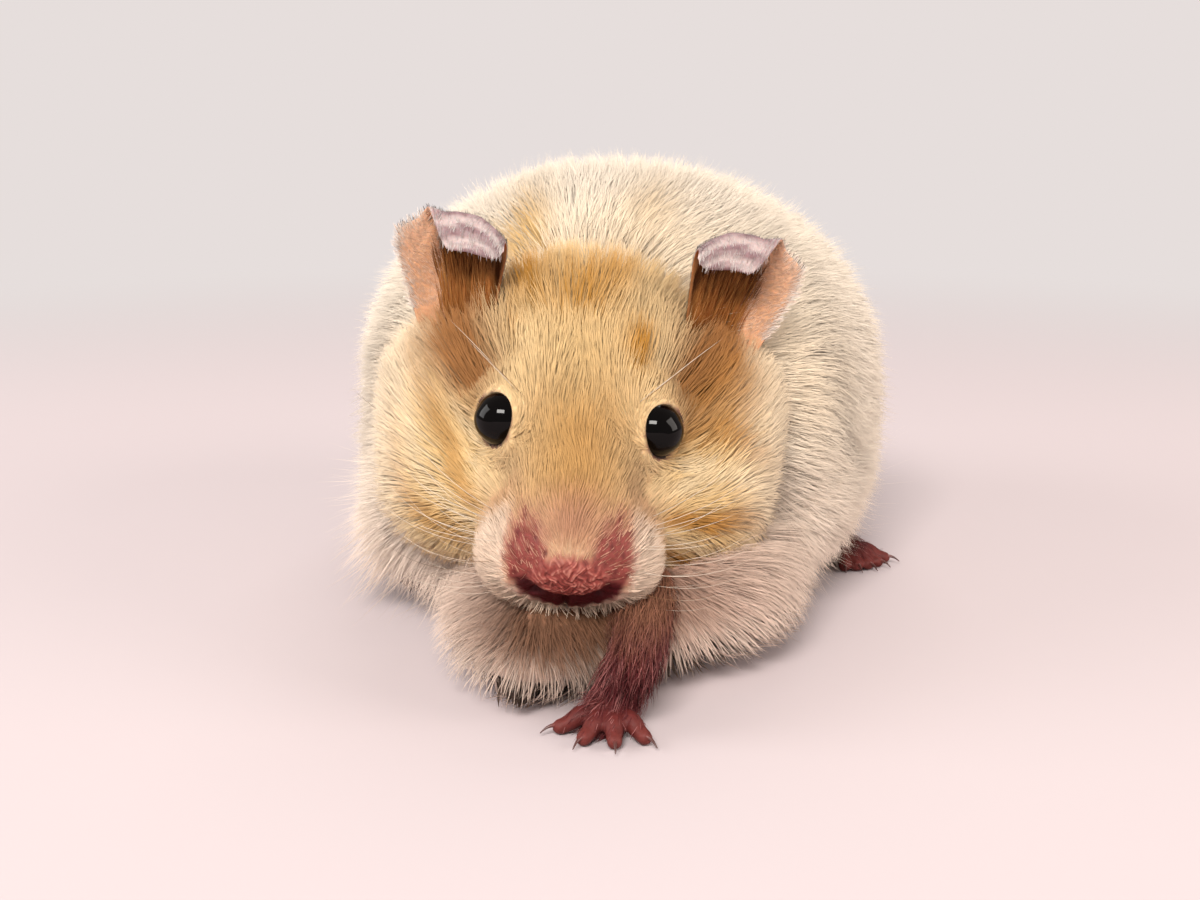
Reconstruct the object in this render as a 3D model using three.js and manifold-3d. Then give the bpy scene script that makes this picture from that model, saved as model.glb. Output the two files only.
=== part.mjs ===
// Syrian hamster, long-haired and cream, walking with its head low. Life size, in millimetres.
// +Z is up, the animal faces -Y, and its own left side is towards +X.
// Every form is a blend of named lumps of flesh and coat, read out to the tips of the coat.
import * as THREE from "three";
import { mergeVertices } from "three/addons/utils/BufferGeometryUtils.js";
import Module from "manifold-3d";

const wasm = await Module();
wasm.setup();

// ---- Driving dimensions ----
const SEAM = 0.3; // gap between neighbouring sub-parts
const BIG = 400; // half-spaces are boxes of this size

// The head hangs from the point midway between the eyes.
const HEAD_AT = new THREE.Vector3(-2.6, 0, 31);
const HEAD_PITCH = 20; // degrees, nose down
const HEAD_ROLL = 4; // degrees, left side down
const HEAD_YAW = -1; // degrees, nose towards the right side
const EYE_SPREAD = 9.3; // each eyeball's centre from the mid-plane
const EYE_RADIUS = 3.5;
const EYE_BACK = 1.1;

// The body's long axis runs back from the chest, with the rump carried to the left.
const BODY_TURN = -6; // degrees about the vertical
const BODY_PIVOT = new THREE.Vector3(-1.3, 10, 0);

// Underside: the coat clears the floor except on two pads that carry weight.
const BELLY_CLEARANCE = 2.2;
const PAD_DEPTH = 3.2;
const PADS = [
  { x: -2, y: -14, wide: 13, long: 14 }, // breast
  { x: 0, y: 60, wide: 15, long: 11 }, // under the rump
];

const EAR_WIDTH = 14.5;
const EAR_CUP = 3;
const EAR_WALL = 0.9;
const EAR_STRAIGHT = 12.8; // length from the root up to the fold, at the ear's middle
const EAR_UNFOLDED = 1.6; // how much longer that is at the outer margin, which stands up
const EAR_ROLLED = 2.6; // and how much shorter at the crown side
const EAR_CORNER = 1.6; // how far the outer corner is rounded off
const EAR_FOLDED = 9.2; // length of the skin that is folded over, from the start of the fold
const EAR_FOLD = 2.4; // radius of the fold
const EAR_FOLD_TURN = 2.65; // radians that the top is folded over
const EAR_HANG = 2; // how far the folded edge is drawn towards the crown
const EAR_AT = new THREE.Vector3(17.2, 16.5, 3);
const EARS = [
  { name: "ear_left", side: 1, turn: 14, lean: 14 },
  { name: "ear_right", side: -1, turn: 14, lean: 4 },
];
const EAR_TILT = -13; // degrees, tips back

const CREAM = 0xefe0cc;
const GOLD = 0xdcb375;
const PINK = 0xb5706a;
const PAW = 0x9c4c4a;
const NOSE_PINK = 0xa85c55;
const EAR_SKIN = 0xdda287;
const EYE_BLACK = 0x0b0808;

const RAD = Math.PI / 180;

// Straight run of values from low to high while t goes from start to end.
function ramp(t, low, high, start = 0, end = 1) {
  return low + (high - low) * THREE.MathUtils.clamp((t - start) / (end - start), 0, 1);
}

// ---- Blended lumps ----
// A lump is an ellipsoid: where it is, its three half-sizes, and how softly it joins the rest.
// "pair" repeats it on the other side of the mid-plane.
function lump(x, y, z, wide, long, high, blend, pair = false) {
  return { at: [x, y, z], half: [wide, long, high], blend, pair };
}

// Near-distance from a point to an ellipsoid, negative inside.
function ellipsoidGap(x, y, z, half) {
  const scaled = Math.hypot(x / half[0], y / half[1], z / half[2]);
  const slope = Math.hypot(x / half[0] ** 2, y / half[1] ** 2, z / half[2] ** 2);
  return (scaled * (scaled - 1)) / Math.max(slope, 1e-9);
}

// Smaller of two values, rounded off where they are within the blend of each other.
function softMin(a, b, blend) {
  const near = Math.max(blend - Math.abs(a - b), 0) / blend;
  return Math.min(a, b) - (near * near * blend) / 4;
}

function softMax(a, b, blend) {
  return -softMin(-a, -b, blend);
}

function lumpGap(lumps, x, y, z) {
  let gap = 1e9;
  for (const one of lumps) {
    const side = one.pair ? Math.abs(x) : x;
    const own = ellipsoidGap(side - one.at[0], y - one.at[1], z - one.at[2], one.half);
    gap = softMin(gap, own, one.blend);
  }
  return gap;
}

// Head, in its own frame: x to the left, y backwards, z up, zero midway between the eyes.
const HEAD_LUMPS = [
  lump(0, 14, -1, 15.5, 18, 13.6, 5), // cranium
  lump(0, -1, -3.8, 8.4, 14, 7.6, 5), // brow and bridge
  lump(0, -12, -7, 7.4, 9.2, 5.8, 4), // snout
  lump(5.6, -12.6, -9.4, 6.1, 7, 6, 3, true), // whisker pads
  lump(0, -10.5, -13, 6, 7.8, 4.4, 4), // chin
  lump(7.5, 1, -11.3, 7, 10, 7.2, 5, true), // jowls
  lump(14.5, 17, -6.5, 14, 14.5, 14, 6, true), // cheeks
  lump(14, 8.5, -13.5, 12, 12.5, 10.5, 7, true), // pouches
  lump(0, 20, 7, 13.5, 11, 8.5, 6), // crown
];

// Body, in the body's frame: x to the left, y backwards from the pivot, z up from the floor.
const BODY_LUMPS = [
  lump(0, 17, 26, 32, 17, 24, 8), // neck and shoulders
  lump(-1, 18, 36, 18, 18, 20, 8), // nape
  lump(0, 42, 29, 41.5, 32, 33.5, 12), // barrel
  lump(0, 63, 26, 34, 27, 28, 12), // rump
  lump(24, 36, 13, 15, 30, 14, 8, true), // flanks
  lump(25, 50, 18, 14, 20, 17, 8, true), // haunches
  lump(2, -5, 6, 21, 19, 12, 8), // breast
  lump(-5, -10.5, 5, 13, 20.5, 10.5, 8), // fringe of the breast, beside the left forearm
  lump(17.5, 3, 7.5, 12.5, 18, 11.5, 8), // coat over the left elbow, which reaches forward
  lump(-19, 14, 10, 13, 15, 13, 11), // coat over the right elbow
];

function headGap(x, y, z) {
  return lumpGap(HEAD_LUMPS, x, y, z);
}

function bodyGap(x, y, z) {
  let floor = BELLY_CLEARANCE;
  for (const pad of PADS) {
    const reach = ((x - pad.x) / pad.wide) ** 2 + ((y - pad.y) / pad.long) ** 2;
    floor -= PAD_DEPTH * Math.exp(-reach);
  }
  return softMax(lumpGap(BODY_LUMPS, x, y, z), floor - z, 3);
}

// ---- Surfaces ----
// Distance along a ray at which a form is left, found by steps outward and then by halving.
const HALVINGS = 18;

function reach(gap, level, from, way) {
  const at = (far) => {
    const [x, y, z] = from.map((start, axis) => start + way[axis] * far);
    return gap(x, y, z) - level;
  };
  let outer = 1;
  while (at(outer) < 0) {
    outer += 1;
  }
  let inner = outer - 1;
  for (let i = 0; i < HALVINGS; i += 1) {
    const middle = (inner + outer) / 2;
    if (at(middle) < 0) {
      inner = middle;
    } else {
      outer = middle;
    }
  }
  return (inner + outer) / 2;
}

// Closed surface of a form, from its front pole to its back pole. Ring t starts from the point
// spine(t) and looks out at lean(t) from straight ahead, so the rings fan out at both ends.
function wrappedForm(gap, level, spine, lean, rings, around) {
  const points = [];
  const ray = (t, turn) => {
    const from = spine(t);
    const tilt = lean(t);
    const way = [
      Math.sin(tilt) * Math.sin(turn),
      -Math.cos(tilt),
      Math.sin(tilt) * Math.cos(turn),
    ];
    const far = reach(gap, level, from, way);
    points.push(from[0] + way[0] * far, from[1] + way[1] * far, from[2] + way[2] * far);
  };
  ray(0, 0);
  for (let ring = 1; ring < rings; ring += 1) {
    for (let step = 0; step < around; step += 1) {
      ray(ring / rings, (2 * Math.PI * step) / around);
    }
  }
  ray(1, 0);
  return ringMesh(points, rings - 1, around);
}

// Triangles for points listed as one pole, rings of equal count, and the other pole.
function ringMesh(points, rings, around) {
  const faces = [];
  const last = points.length / 3 - 1;
  for (let step = 0; step < around; step += 1) {
    const next = (step + 1) % around;
    faces.push(0, 1 + next, 1 + step);
    for (let ring = 0; ring < rings - 1; ring += 1) {
      const near = 1 + ring * around;
      const far = near + around;
      faces.push(near + step, far + next, far + step);
      faces.push(near + step, near + next, far + next);
    }
    const end = 1 + (rings - 1) * around;
    faces.push(end + step, end + next, last);
  }
  const geometry = new THREE.BufferGeometry();
  geometry.setAttribute("position", new THREE.Float32BufferAttribute(points, 3));
  geometry.setIndex(faces);
  return geometry;
}

// ---- Solids ----
function solid(geometry) {
  const plain = geometry.clone();
  plain.deleteAttribute("normal");
  plain.deleteAttribute("uv");
  const merged = mergeVertices(plain, 1e-5);
  return new wasm.Manifold(new wasm.Mesh({
    numProp: 3,
    vertProperties: new Float32Array(merged.attributes.position.array),
    triVerts: new Uint32Array(merged.index.array),
  }));
}

function geometryOf(shape) {
  const mesh = shape.getMesh();
  const geometry = new THREE.BufferGeometry();
  geometry.setAttribute("position", new THREE.BufferAttribute(mesh.vertProperties, 3));
  geometry.setIndex(new THREE.BufferAttribute(mesh.triVerts, 1));
  return geometry;
}

function box(x0, y0, z0, x1, y1, z1) {
  const geometry = new THREE.BoxGeometry(x1 - x0, y1 - y0, z1 - z0);
  geometry.translate((x0 + x1) / 2, (y0 + y1) / 2, (z0 + z1) / 2);
  return geometry;
}

const ABOVE_FLOOR = solid(box(-BIG, -BIG, 0, BIG, BIG, BIG));

function ball(x, y, z, wide, long, high, around = 12, rings = 8) {
  const geometry = new THREE.SphereGeometry(1, around, rings);
  geometry.rotateX(Math.PI / 2);
  geometry.scale(wide, long, high);
  geometry.translate(x, y, z);
  return geometry;
}

// Round-ended limb from one point to another, thick at the first end and thin at the second.
function limb(from, to, thick, thin, around = 6, bends = 2) {
  const start = new THREE.Vector3(...from);
  const end = new THREE.Vector3(...to);
  const length = start.distanceTo(end);
  const profile = [];
  for (let i = 0; i <= bends; i += 1) {
    const turn = ((i / bends) * Math.PI) / 2;
    profile.push(new THREE.Vector2(thick * Math.sin(turn), -thick * Math.cos(turn)));
  }
  for (let i = 0; i <= bends; i += 1) {
    const turn = ((i / bends) * Math.PI) / 2;
    profile.push(new THREE.Vector2(thin * Math.cos(turn), length + thin * Math.sin(turn)));
  }
  profile[0].x = 0;
  profile[profile.length - 1].x = 0;
  const geometry = new THREE.LatheGeometry(profile, around);
  const along = end.clone().sub(start).normalize();
  const turn = new THREE.Quaternion().setFromUnitVectors(new THREE.Vector3(0, 1, 0), along);
  geometry.applyQuaternion(turn);
  geometry.translate(start.x, start.y, start.z);
  return geometry;
}

function joined(geometries) {
  let shape = solid(geometries[0]);
  for (const geometry of geometries.slice(1)) {
    shape = shape.add(solid(geometry));
  }
  return shape;
}

function node(name, shape, colour, roughness = 0.9) {
  const material = new THREE.MeshStandardMaterial({ color: colour, roughness, metalness: 0 });
  const mesh = new THREE.Mesh(geometryOf(shape), material);
  mesh.name = name;
  return mesh;
}

// ---- Head ----
const HEAD_BACK = 23; // plane behind the cheeks where the head leaves the neck
const NOSE_FRONT = -20.6; // plane on the tip of the snout that carries the nose pad
const headSpine = (t) => [0, ramp(t, -12, 14, 0.2, 0.8), ramp(t, -8, 0, 0, 0.7)];
const headLean = (t) => Math.PI * (0.6 * t + 0.2 - 0.2 * Math.cos(Math.PI * t));
const headForm = (level) => {
  const form = solid(wrappedForm(headGap, level, headSpine, headLean, 24, 28));
  return form.intersect(solid(box(-BIG, NOSE_FRONT - level, -BIG, BIG, HEAD_BACK + level, BIG)));
};
const headGrown = headForm(SEAM);

const headGroup = new THREE.Group();
headGroup.position.copy(HEAD_AT);
headGroup.rotation.set(HEAD_PITCH * RAD, HEAD_ROLL * RAD, HEAD_YAW * RAD, "ZYX");
headGroup.updateMatrix();

function eyeBall(side, radius) {
  return ball(side * EYE_SPREAD, EYE_BACK, 0, radius, radius, radius, 12, 9);
}

const eyeRoom = joined([eyeBall(1, EYE_RADIUS + SEAM), eyeBall(-1, EYE_RADIUS + SEAM)]);
const headFlesh = headForm(0).subtract(eyeRoom);

// The part of a solid that lies between two planes across the head, and over or under a level.
function portion(shape, front, back, low, high) {
  return shape.intersect(solid(box(-BIG, front, low, BIG, back, high)));
}

const MUZZLE_BACK = -9.5; // plane between the muzzle and the face
const MOUTH_LEVEL = -12.2; // plane between the upper lips and the lower jaw
const face = portion(headFlesh, MUZZLE_BACK + SEAM, BIG, -BIG, BIG);
headGroup.add(node("head", face, GOLD));
const muzzle = portion(headFlesh, -BIG, MUZZLE_BACK, MOUTH_LEVEL + SEAM, BIG);
headGroup.add(node("muzzle", muzzle, PINK));
const jaw = portion(headFlesh, -BIG, MUZZLE_BACK, -BIG, MOUTH_LEVEL);
headGroup.add(node("lower_jaw", jaw, CREAM));
const NOSE_PAD = { z: -6.6, wide: 3.4, long: 1.3, high: 2.3 };
const noseLump = solid(ball(0, NOSE_FRONT, NOSE_PAD.z, NOSE_PAD.wide, NOSE_PAD.long, NOSE_PAD.high));
const nosePad = portion(noseLump, -BIG, NOSE_FRONT - SEAM, -BIG, BIG);
headGroup.add(node("nose", nosePad, NOSE_PINK, 0.5));
for (const [name, side] of [["eye_left", 1], ["eye_right", -1]]) {
  headGroup.add(node(name, solid(eyeBall(side, EYE_RADIUS)), EYE_BLACK, 0.08));
}

// Ear: a cupped leaf of skin. u runs across it and v from root to rim. The crown side of the top
// is folded forward and hangs down in front, and the outer margin stands up about as high.
function earMiddle(u, v, side) {
  const outer = THREE.MathUtils.smoothstep(u * side, 0.15, 0.75);
  const outwards = Math.max(u * side, 0);
  const crownwards = Math.max(-u * side, 0);
  const rounded = EAR_ROLLED * crownwards ** 2 + EAR_CORNER * outwards ** 6;
  const straight = EAR_STRAIGHT + EAR_UNFOLDED * outer - rounded;
  const folded = EAR_FOLDED * (1 - outer) * (1 - 0.4 * crownwards ** 4);
  const length = v * (straight + folded);
  const half = (EAR_WIDTH / 2) * ramp(length, 0.68, 1, 0, 10);
  const cup = EAR_CUP * (1 - u * u) * (0.55 + 0.45 * Math.sin(Math.PI * Math.min(v, 0.6)));
  const over = Math.max(length - straight, 0);
  const bend = Math.min(over / EAR_FOLD, EAR_FOLD_TURN);
  const flap = Math.max(over - EAR_FOLD * EAR_FOLD_TURN, 0);
  const rise = Math.min(length, straight) + EAR_FOLD * Math.sin(bend) + flap * Math.cos(bend);
  const forward = EAR_FOLD * (1 - Math.cos(bend)) + flap * Math.sin(bend);
  const drawn = -side * EAR_HANG * ramp(over, 0, 1, 0, EAR_FOLDED);
  return new THREE.Vector3(u * half + drawn, cup - forward, rise);
}

const STEP = 0.01; // small step in u and v for the directions along the leaf
const EAR_UPRIGHT_ROWS = 3; // rows of the grid below the fold, which are further apart

function earShell(side) {
  const across = 8;
  const up = 8;
  const points = [];
  for (const face of [-1, 1]) {
    for (let j = 0; j <= up; j += 1) {
      for (let i = 0; i <= across; i += 1) {
        const u = -Math.cos((Math.PI * i) / across);
        const upright = ramp(j, 0, 0.52, 0, EAR_UPRIGHT_ROWS);
        const v = upright + ramp(j, 0, 0.48, EAR_UPRIGHT_ROWS, up);
        const here = earMiddle(u, v, side);
        const du = earMiddle(u + STEP, v, side).sub(earMiddle(u - STEP, v, side));
        const above = earMiddle(u, Math.min(v + STEP, 1), side);
        const dv = above.sub(earMiddle(u, Math.max(v - STEP, 0), side));
        const out = du.cross(dv).normalize();
        here.addScaledVector(out, (-face * EAR_WALL) / 2);
        points.push(here.x, here.y, here.z);
      }
    }
  }
  const faces = [];
  const row = across + 1;
  const sheet = row * (up + 1);
  const quad = (a, b, c, d) => faces.push(a, c, b, a, d, c);
  for (let j = 0; j < up; j += 1) {
    for (let i = 0; i < across; i += 1) {
      const a = j * row + i;
      quad(a, a + row, a + row + 1, a + 1);
      quad(a + sheet, a + sheet + 1, a + sheet + row + 1, a + sheet + row);
    }
    const left = j * row;
    quad(left, left + sheet, left + sheet + row, left + row);
    const right = left + across;
    quad(right, right + row, right + sheet + row, right + sheet);
  }
  for (let i = 0; i < across; i += 1) {
    quad(i, i + 1, i + 1 + sheet, i + sheet);
    const top = up * row + i;
    quad(top, top + sheet, top + sheet + 1, top + 1);
  }
  const geometry = new THREE.BufferGeometry();
  geometry.setAttribute("position", new THREE.Float32BufferAttribute(points, 3));
  geometry.setIndex(faces);
  return geometry;
}

const earShells = [];
for (const { name, side, turn, lean } of EARS) {
  const geometry = earShell(side);
  geometry.rotateZ(side * turn * RAD);
  geometry.rotateY(side * lean * RAD);
  geometry.rotateX(EAR_TILT * RAD);
  geometry.translate(side * EAR_AT.x, EAR_AT.y, EAR_AT.z);
  earShells.push([name, solid(geometry).subtract(headGrown)]);
}

// ---- Body ----
const bodyGroup = new THREE.Group();
bodyGroup.position.copy(BODY_PIVOT);
bodyGroup.rotation.z = BODY_TURN * RAD;
bodyGroup.updateMatrix();

const bodySpine = (t) => [0, ramp(t, 1, 61, 0.2, 0.8), ramp(t, 16, 26, 0, 0.5)];
const bodyLean = (t) => Math.PI * (0.5 - 0.5 * Math.cos(Math.PI * t));
const bodyForm = (level) => solid(wrappedForm(bodyGap, level, bodySpine, bodyLean, 24, 32));

const toBody = bodyGroup.matrix.clone().invert().multiply(headGroup.matrix);
const headRoom = solid(geometryOf(headGrown).applyMatrix4(toBody));
const bodyGrown = bodyForm(SEAM);
const bodyRoom = solid(geometryOf(bodyGrown).applyMatrix4(toBody.clone().invert()));
for (const [name, shape] of earShells) {
  headGroup.add(node(name, shape.subtract(bodyRoom), EAR_SKIN, 0.7));
}
let body = bodyForm(0).intersect(ABOVE_FLOOR).subtract(headRoom);

// ---- Feet ----
// Each foot: middle of its sole, where the wrist or heel joins it, and the point inside the coat
// that the limb comes down from. Toes fan out from the sole by the angles given, from straight
// ahead towards the left side.
const FORE = { sole: 3.3, long: 3.4, high: 2.2, toes: 4.6, limb: 2.6, root: 3.6 };
const HIND = { sole: 3.2, long: 4.4, high: 2.1, toes: 5, limb: 2.5, root: 4 };
const FEET = [
  {
    name: "fore_left",
    kind: FORE,
    at: [5.6, -27.5],
    wrist: [8.2, -24, 8],
    root: [8.5, -13, 11.5],
    fan: [-62, -24, 8, 40],
  },
  {
    name: "fore_right",
    kind: FORE,
    at: [-14, 5],
    wrist: [-14.5, 10, 8],
    root: [-15, 17, 15],
    fan: [-40, -14, 14, 42],
  },
  {
    name: "hind_left",
    kind: HIND,
    at: [35, 39.5],
    wrist: [30, 47, 4.5],
    root: [25, 50, 13],
    fan: [2, 18, 34, 52, 74],
  },
  {
    name: "hind_right",
    kind: HIND,
    at: [-24, 23],
    wrist: [-22.5, 32, 4.5],
    root: [-20, 38, 13],
    fan: [-48, -26, -10, 6, 22],
  },
];
const TOE_THICK = 1.3;
const TOE_THIN = 1;
const TOE_ROOT_HEIGHT = 1.9;
const CLAW_LENGTH = 1.7;
const CLAW = { thick: 0.5, thin: 0.15, high: 1, tip: 0.5 };

function footShape(foot) {
  const { kind, at, wrist, fan } = foot;
  const [x, y] = at;
  const pieces = [
    ball(x, y, kind.high - 0.3, kind.sole, kind.long, kind.high, 8, 5),
    limb(wrist, [x, y, kind.high], kind.limb, kind.high - 0.1, 6),
  ];
  const start = kind.sole * 0.55;
  const end = start + kind.toes;
  for (const turn of fan) {
    const along = (far, z) => [x + Math.sin(turn * RAD) * far, y - Math.cos(turn * RAD) * far, z];
    const tip = along(end, TOE_THIN - 0.25);
    pieces.push(limb(along(start, TOE_ROOT_HEIGHT), tip, TOE_THICK, TOE_THIN, 5));
    const point = along(end + CLAW_LENGTH, CLAW.tip);
    pieces.push(limb(along(end, CLAW.high), point, CLAW.thick, CLAW.thin, 4, 1));
  }
  return joined(pieces).intersect(ABOVE_FLOOR);
}

for (const foot of FEET) {
  const shape = footShape(foot);
  const leg = solid(limb(foot.root, foot.wrist, foot.kind.root, foot.kind.limb, 8));
  const limbWhole = leg.add(shape).intersect(ABOVE_FLOOR);
  bodyGroup.add(node(`leg_${foot.name}`, limbWhole.subtract(bodyGrown).subtract(headRoom), PAW, 0.6));
}

// Haunches and shoulders are the parts of the body inside a rounded volume at each side.
const HAUNCH = { x: 34, y: 46, z: 14, wide: 17, long: 17, high: 21 };
const SHOULDER = { x: 27, y: 11, z: 12, wide: 15, long: 13, high: 18 };

function sideVolume(part, side, grown) {
  const { x, y, z, wide, long, high } = part;
  return solid(ball(side * x, y, z, wide + grown, long + grown, high + grown, 14, 9));
}

for (const [name, side] of [["left", 1], ["right", -1]]) {
  for (const [what, part] of [["thigh", HAUNCH], ["shoulder", SHOULDER]]) {
    bodyGroup.add(node(`${what}_${name}`, body.intersect(sideVolume(part, side, 0)), CREAM));
    body = body.subtract(sideVolume(part, side, SEAM));
  }
}

// The trunk is cut across into breast, neck, barrel and rump.
const CUTS = [["breast", -BIG, 4], ["neck", 4, 20], ["trunk", 20, 52], ["rump", 52, BIG]];
for (const [name, front, back] of CUTS) {
  const length = body.intersect(solid(box(-BIG, front + SEAM / 2, -BIG, BIG, back - SEAM / 2, BIG)));
  bodyGroup.add(node(name, length, CREAM));
}

const TAIL_ROOT = [0, 80, 13];
const TAIL_TIP = [0, 92, 7];
const tail = solid(limb(TAIL_ROOT, TAIL_TIP, 3.6, 1.6, 8));
bodyGroup.add(node("tail", tail.subtract(bodyGrown), CREAM));

// The origin is on the floor, in the middle of the whole animal.
const model = new THREE.Group();
model.add(headGroup, bodyGroup);
const whole = new THREE.Box3().setFromObject(model);
const middle = whole.getCenter(new THREE.Vector3());
model.position.set(-middle.x, -middle.y, -whole.min.z);
export default model;
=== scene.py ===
"""Long-haired Syrian hamster, a still life-size model: skin, eyes, claws, whiskers and coat."""
import math

import bmesh
import bpy
import numpy as np
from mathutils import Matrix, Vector


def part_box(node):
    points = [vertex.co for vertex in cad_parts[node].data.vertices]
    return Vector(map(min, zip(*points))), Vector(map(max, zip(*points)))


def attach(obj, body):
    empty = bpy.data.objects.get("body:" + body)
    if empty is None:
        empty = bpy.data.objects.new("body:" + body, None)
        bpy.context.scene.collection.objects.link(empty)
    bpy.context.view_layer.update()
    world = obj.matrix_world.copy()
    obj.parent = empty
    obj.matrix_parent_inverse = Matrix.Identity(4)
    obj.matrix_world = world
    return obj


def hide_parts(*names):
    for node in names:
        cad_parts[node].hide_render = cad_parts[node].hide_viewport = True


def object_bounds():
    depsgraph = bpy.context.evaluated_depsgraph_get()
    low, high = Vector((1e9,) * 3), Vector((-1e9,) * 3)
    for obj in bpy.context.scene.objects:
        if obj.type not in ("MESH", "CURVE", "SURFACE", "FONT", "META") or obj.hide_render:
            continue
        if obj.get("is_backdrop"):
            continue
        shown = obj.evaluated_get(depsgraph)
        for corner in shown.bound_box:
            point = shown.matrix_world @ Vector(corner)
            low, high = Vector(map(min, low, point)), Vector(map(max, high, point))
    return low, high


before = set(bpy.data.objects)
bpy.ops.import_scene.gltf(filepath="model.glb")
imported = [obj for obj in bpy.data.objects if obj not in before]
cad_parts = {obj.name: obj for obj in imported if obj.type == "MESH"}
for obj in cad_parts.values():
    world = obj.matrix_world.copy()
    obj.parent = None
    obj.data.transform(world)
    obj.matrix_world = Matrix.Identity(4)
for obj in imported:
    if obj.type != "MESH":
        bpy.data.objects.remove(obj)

cad_low, cad_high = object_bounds()

# ---- Camera ----
# The animal is seen from the front and a little above, from about 18 cm away. Its head hangs
# from the point midway between the eyes, and everything is placed from there, in millimetres.
MM = 0.001


def turned(axis, degrees):
    """Rotation matrix about one of the three axes."""
    a, b = [(1, 2), (2, 0), (0, 1)][axis]
    matrix = np.eye(3)
    matrix[a, a] = matrix[b, b] = math.cos(math.radians(degrees))
    matrix[b, a] = math.sin(math.radians(degrees))
    matrix[a, b] = -matrix[b, a]
    return matrix


def middle_of(node):
    """Centre of a node's box, in millimetres."""
    low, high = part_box(node)
    return (np.array(low) + np.array(high)) / 2 / MM


EYE_SPREAD, EYE_BACK, EYE_RADIUS = 9.3, 1.1, 3.5  # eyeballs: aside, behind the head's point, radius
HEAD_TURN = turned(2, -1) @ turned(1, 4) @ turned(0, 20)
HEAD_AT = (middle_of("eye_left") + middle_of("eye_right")) / 2 - HEAD_TURN @ [0, EYE_BACK, 0]
BODY_TURN = turned(2, -6)
BODY_ASIDE, BODY_BEHIND = 1.3, 10  # from the head to the body's own frame on the floor
BODY_AT = np.array([HEAD_AT[0] + BODY_ASIDE, HEAD_AT[1] + BODY_BEHIND, 0])

CAMERA_FROM_HEAD = (2.6, -178.5, 40.2)
CAMERA_DIP = 13.5
CAMERA_LENS = 45
NEAREST_SEEN = 10  # the camera sees nothing nearer than this

camera = bpy.data.objects.new("camera", bpy.data.cameras.new("camera"))
bpy.context.scene.collection.objects.link(camera)
camera.data.lens = CAMERA_LENS
camera.data.clip_start = NEAREST_SEEN * MM
camera.location = (HEAD_AT + CAMERA_FROM_HEAD) * MM
camera.rotation_euler = (math.radians(90 - CAMERA_DIP), 0, 0)
bpy.context.scene.camera = camera
bpy.context.scene.view_settings.view_transform = "Standard"

# ---- Floor and light ----
# A pale matt floor that fades into a pale surround, one wide softbox high in front, weaker ones
# at each side and behind, and an even glow from all round.
FLOOR_COLOUR = "#BDB1B3"
SURROUND_COLOUR = "#E6DEDC"
GLOW_COLOUR, GLOW_STRENGTH = "#FFFAF6", 0.38
FADE_FROM, FADE_TO = 130, 420
FLOOR_REACH = 3000


def linear(colour):
    """Linear red, green and blue of an sRGB hex colour."""
    values = np.array([int(colour[i:i + 2], 16) for i in (1, 3, 5)]) / 255
    return np.where(values <= 0.04045, values / 12.92, ((values + 0.055) / 1.055) ** 2.4)


def add(tree, kind, inputs=None, **settings):
    """One node with its settings; an input is a value, or another node's output to link."""
    node = tree.nodes.new(kind)
    for name, value in settings.items():
        setattr(node, name, value)
    for name, value in (inputs or {}).items():
        if isinstance(value, bpy.types.NodeSocket):
            tree.links.new(value, node.inputs[name])
        else:
            node.inputs[name].default_value = value
    return node


def material(name):
    """New material with an empty node tree, and that tree."""
    made = bpy.data.materials.new(name)
    made.use_nodes = True
    made.node_tree.nodes.clear()
    return made, made.node_tree


def mesh_object(name, points, faces, finish):
    """Object at the origin from points in millimetres and faces of three or four corners each."""
    mesh = bpy.data.meshes.new(name)
    points = np.asarray(points, float).reshape(-1, 3)
    faces = np.asarray(faces)
    corners = faces.shape[1]
    mesh.vertices.add(len(points))
    mesh.vertices.foreach_set("co", (points * MM).astype(np.float32).ravel())
    mesh.loops.add(faces.size)
    mesh.loops.foreach_set("vertex_index", faces.astype(np.int32).ravel())
    mesh.polygons.add(len(faces))
    mesh.polygons.foreach_set("loop_start", np.arange(0, faces.size, corners, dtype=np.int32))
    mesh.polygons.foreach_set("use_smooth", np.ones(len(faces), bool))
    mesh.update(calc_edges=True)
    mesh.materials.append(finish)
    made = bpy.data.objects.new(name, mesh)
    bpy.context.scene.collection.objects.link(made)
    return made


def floor_finish():
    """Matt paper with no gloss, which the camera sees fade into the surround further out."""
    made, tree = material("studio_paper")
    paper = {"Base Color": (*linear(FLOOR_COLOUR), 1), "Roughness": 0.95, "Specular IOR Level": 0.1}
    shader = add(tree, "ShaderNodeBsdfPrincipled", paper)
    glow = add(tree, "ShaderNodeEmission", {"Color": (*linear(SURROUND_COLOUR), 1), "Strength": 1.0})
    place = add(tree, "ShaderNodeTexCoord").outputs["Object"]
    away = add(tree, "ShaderNodeVectorMath", {0: place}, operation="LENGTH").outputs["Value"]
    reach = {"Value": away, "From Min": FADE_FROM * MM, "From Max": FADE_TO * MM}
    fade = add(tree, "ShaderNodeMapRange", reach, interpolation_type="SMOOTHSTEP")
    camera_ray = add(tree, "ShaderNodeLightPath").outputs["Is Camera Ray"]
    share = add(tree, "ShaderNodeMath", {0: fade.outputs[0], 1: camera_ray}, operation="MULTIPLY")
    both = add(tree, "ShaderNodeMixShader", {0: share.outputs[0], 1: shader.outputs[0], 2: glow.outputs[0]})
    add(tree, "ShaderNodeOutputMaterial", {"Surface": both.outputs[0]})
    return made


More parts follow.
